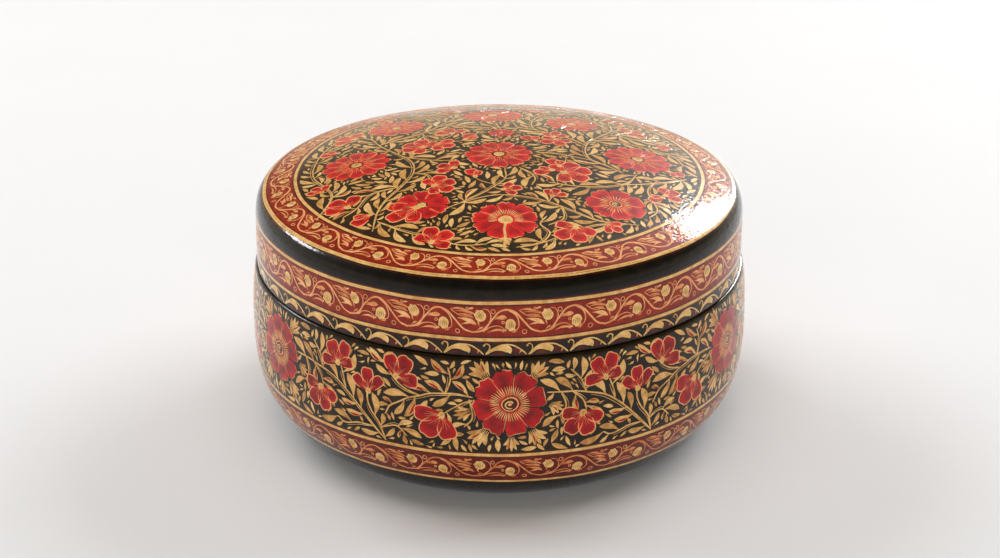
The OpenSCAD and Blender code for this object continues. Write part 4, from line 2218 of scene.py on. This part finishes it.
@dataclass(frozen=True)
class TopField:
    """The round field of flowers on the lid, drawn as seen from above."""

    radius: float = 50.7
    seed: int = 19
    petal_shade: float = 0.3

    ROSETTES = (
        Rosette(-36.1, -2.3, 8.4, 12, 0, 5, 0.6),
        Rosette(0.0, -2.2, 8.4, 11, 0, 12, 0.15),
        Rosette(35.3, 1.5, 8.3, 12, 0, 0, 0.6),
        Rosette(1.6, -37.4, 8.0, 9, 44, 10, 0.0, True),
        Rosette(-18.6, -29.6, 6.9, 9, 0, 14, 0.0),
        Rosette(28.2, -27.2, 7.4, 7, 26, 25, 0.0),
        Rosette(-27.2, 25.5, 7.4, 10, 0, 8, 0.3),
        Rosette(-1.8, 34.7, 8.2, 11, 0, 3, 0.3),
        Rosette(19.2, 27.0, 7.0, 10, 0, 11, 0.3),
        Rosette(0.5, 14.6, 3.4, 7, 0, 11, 0.0),
    )
    FLOWERS = (
        Flower(-13.4, -9.4, 5.0, 150, Opening.TRIPLE), Flower(-13.0, -19.0, 6.0, 20, Opening.FIVE),
        Flower(-6.3, -13.7, 4.9, 100, Opening.BUD), Flower(14.1, -6.6, 5.4, 110, Opening.BUD),
        Flower(10.8, -12.0, 5.1, 190, Opening.BUD), Flower(19.6, -11.4, 7.5, 20, Opening.FIVE),
        Flower(-38.8, -23.7, 6.6, 130, Opening.TRIPLE), Flower(-45.0, -13.7, 4.7, 120, Opening.TULIP),
        Flower(-33.4, -33.2, 5.9, 215, Opening.BUD), Flower(-14.2, -43.2, 6.4, 60, Opening.QUAD),
        Flower(17.0, -42.8, 6.7, 250, Opening.QUAD), Flower(3.4, -22.8, 4.8, 10, Opening.TULIP),
        Flower(13.7, -23.7, 4.6, 70, Opening.TULIP), Flower(42.8, -17.2, 4.8, 40, Opening.TRIPLE),
        Flower(38.3, -21.2, 4.3, 210, Opening.BUD), Flower(27.4, -38.4, 4.4, 320, Opening.TULIP),
        Flower(-22.2, 7.0, 6.7, 150, Opening.FIVE), Flower(-13.6, 5.4, 5.3, 330, Opening.TRIPLE),
        Flower(-12.6, 17.4, 5.0, 100, Opening.TRIPLE), Flower(-7.4, 11.6, 5.4, 60, Opening.BUD),
        Flower(8.2, 10.8, 5.1, 120, Opening.BUD), Flower(14.0, 8.0, 5.4, 250, Opening.QUAD),
        Flower(14.5, 15.0, 5.1, 80, Opening.TULIP), Flower(-40.5, 22.0, 6.6, 140, Opening.TRIPLE),
        Flower(-44.2, 9.8, 5.1, 170, Opening.BUD), Flower(36.2, 25.4, 6.1, 40, Opening.TRIPLE),
        Flower(43.0, 14.2, 5.1, 20, Opening.BUD), Flower(-13.0, 43.5, 5.0, 110, Opening.TRIPLE),
        Flower(9.5, 44.0, 5.0, 70, Opening.TRIPLE), Flower(31.5, 36.0, 4.8, 50, Opening.TULIP),
        Flower(-31.0, 37.0, 5.1, 130, Opening.TULIP), Flower(-23.4, -33.0, 8.5, 214, Opening.TULIP),
        Flower(44.8, -4.6, 4.3, 330, Opening.BUD),
    )
    VINES = (
        ((-30.0, -39.2), (-29.2, -31.2), (-27.2, -25.3), (-23.8, -19.0), (-21.3, -12.0),
         (-21.8, -5.3), (-25.0, 0.5),
         (-28.4, 5.5), (-31.0, 10.4), (-33.2, 16.4), (-36.0, 19.8)),
        ((-9.7, -29.9), (-4.7, -25.8), (-0.9, -21.2), (1.6, -17.0), (1.4, -11.2)),
        ((33.4, -35.6), (24.5, -35.8), (18.7, -32.8), (12.0, -28.7), (6.2, -26.6), (-1.3, -26.2),
         (-8.8, -29.5),
         (-14.2, -33.0)),
        ((31.0, -9.6), (27.2, -6.0), (23.2, -2.8), (22.0, 2.2), (22.8, 8.8), (26.2, 16.3),
         (29.5, 23.0), (29.8, 29.7)),
        ((34.5, -9.0), (31.4, -15.2), (25.3, -18.8), (18.7, -19.8), (12.0, -18.6)),
        ((47.2, -6.4), (42.0, -10.6), (35.3, -14.5), (28.7, -17.0)),
        ((9.6, -0.6), (15.3, -1.2), (22.8, -3.3)),
        ((0.0, 6.6), (-0.9, 10.2)),
        ((0.4, 18.4), (-0.4, 22.0), (-1.0, 25.6)),
        ((-23.8, -19.0), (-31.3, -21.2), (-34.5, -27.8), (-37.6, -31.0)),
        ((-24.6, -0.4), (-19.7, -3.7), (-14.4, -5.6), (-10.4, -5.4)),
        ((-31.0, 10.4), (-26.0, 13.6), (-20.0, 17.0), (-16.0, 23.0), (-12.0, 31.0)),
        ((22.6, 7.0), (18.0, 12.4), (10.0, 18.0), (8.6, 26.0), (10.6, 34.0), (14.0, 40.0)),
        ((29.5, 23.0), (25.6, 32.6), (22.6, 38.6), (18.0, 43.0)),
        ((29.5, 22.0), (34.0, 17.6), (40.0, 19.6), (42.6, 22.6)),
        ((24.0, 11.6), (29.0, 13.6), (36.0, 11.8), (44.6, 8.6), (47.2, 2.4)),
        ((-44.0, -30.0), (-41.0, -18.6), (-46.6, -6.0), (-47.0, 4.0), (-44.6, 15.4), (-38.0, 28.6)),
        ((-29.0, -35.2), (-22.0, -41.0), (-10.0, -47.4), (-3.0, -47.6)),
        ((30.4, -36.0), (22.0, -38.2), (10.6, -46.4), (5.0, -47.8)),
        ((4.0, -48.8), (9.4, -47.0), (12.0, -42.6), (9.8, -39.0), (11.4, -35.4)),
        ((-21.3, -12.0), (-17.6, -14.6), (-16.4, -22.4), (-18.6, -24.2)),
        ((-12.0, 31.0), (-14.4, 38.0), (-20.6, 42.4)),
        ((39.6, -10.6), (36.6, -18.0), (38.4, -27.0), (36.0, -31.6)),
        ((-20.0, 17.0), (-19.0, 11.6), (-16.0, 10.0)),
        ((5.0, -10.6), (8.8, -16.0), (8.0, -20.6)),
        ((15.0, -30.4), (15.4, -36.0), (11.6, -39.4)),
        ((-16.2, 23.0), (-9.6, 22.4), (-6.0, 25.4)),
        ((10.0, 18.0), (5.2, 20.6), (3.6, 25.6)),
        ((-33.2, 16.4), (-34.0, 25.6), (-37.0, 32.6)),
    )

    def inside(self, points: np.ndarray) -> np.ndarray:
        """Which points lie on the field."""
        return np.hypot(points[:, 0], points[:, 1]) < self.radius

    def paint(self, work: dict[Coat, BrushWork]) -> None:
        """Paints the field.

        Args:
            work: The brushwork that it goes to.
        """
        reach = self.radius
        ground = Ground((-reach, -reach), (reach, reach), False, self.inside)
        painter = Painter(work, self.seed, petal_shade=self.petal_shade, ground=ground)
        for rose in self.ROSETTES:
            ground.mark_disc(rose.x, rose.y, rose.radius)
        for flower in self.FLOWERS:
            ground.mark_disc(flower.x, flower.y, flower.size * 0.5)
        for points in self.VINES:
            painter.vine(points)
        for flower in self.FLOWERS:
            painter.join(flower)
        painter.leaves(6.2, 2.5, 0.31, 24, 0.18)
        painter.leaves(4.6, 2.0, 0.35, 44, 0.22)
        for flower in self.FLOWERS:
            painter.tuft(flower.calyx, flower.facing_deg, flower.size * 1.02, 5, 130, 1.5)
        for rose in self.ROSETTES:
            for turn in range(0, 360, 40):
                painter.tuft((rose.x, rose.y), turn + 12, rose.radius + 0.5, 3, 20, 1.6)
        painter.fill(((4.0, 1.45), (3.1, 1.2), (2.4, 1.0), (1.7, 0.78)), 9000, 0.18)
        for rose in self.ROSETTES:
            painter.rosette(rose)
        for flower in self.FLOWERS:
            painter.flower(flower)


def main() -> None:
    """Builds the studio, the body and the lid, in that order."""
    logging.basicConfig(level=logging.INFO, format="%(name)s: %(message)s")
    shop = Workshop()
    Studio().build(shop)
    body = BoxBody(shop)
    body_outline = body.build_shell()
    body.dress_inner_pieces()
    lid = Lid(shop)
    lid_outline = lid.build_shell()
    body.paint(body_outline)
    lid.paint(lid_outline)


if __name__ == "__main__":
    main()
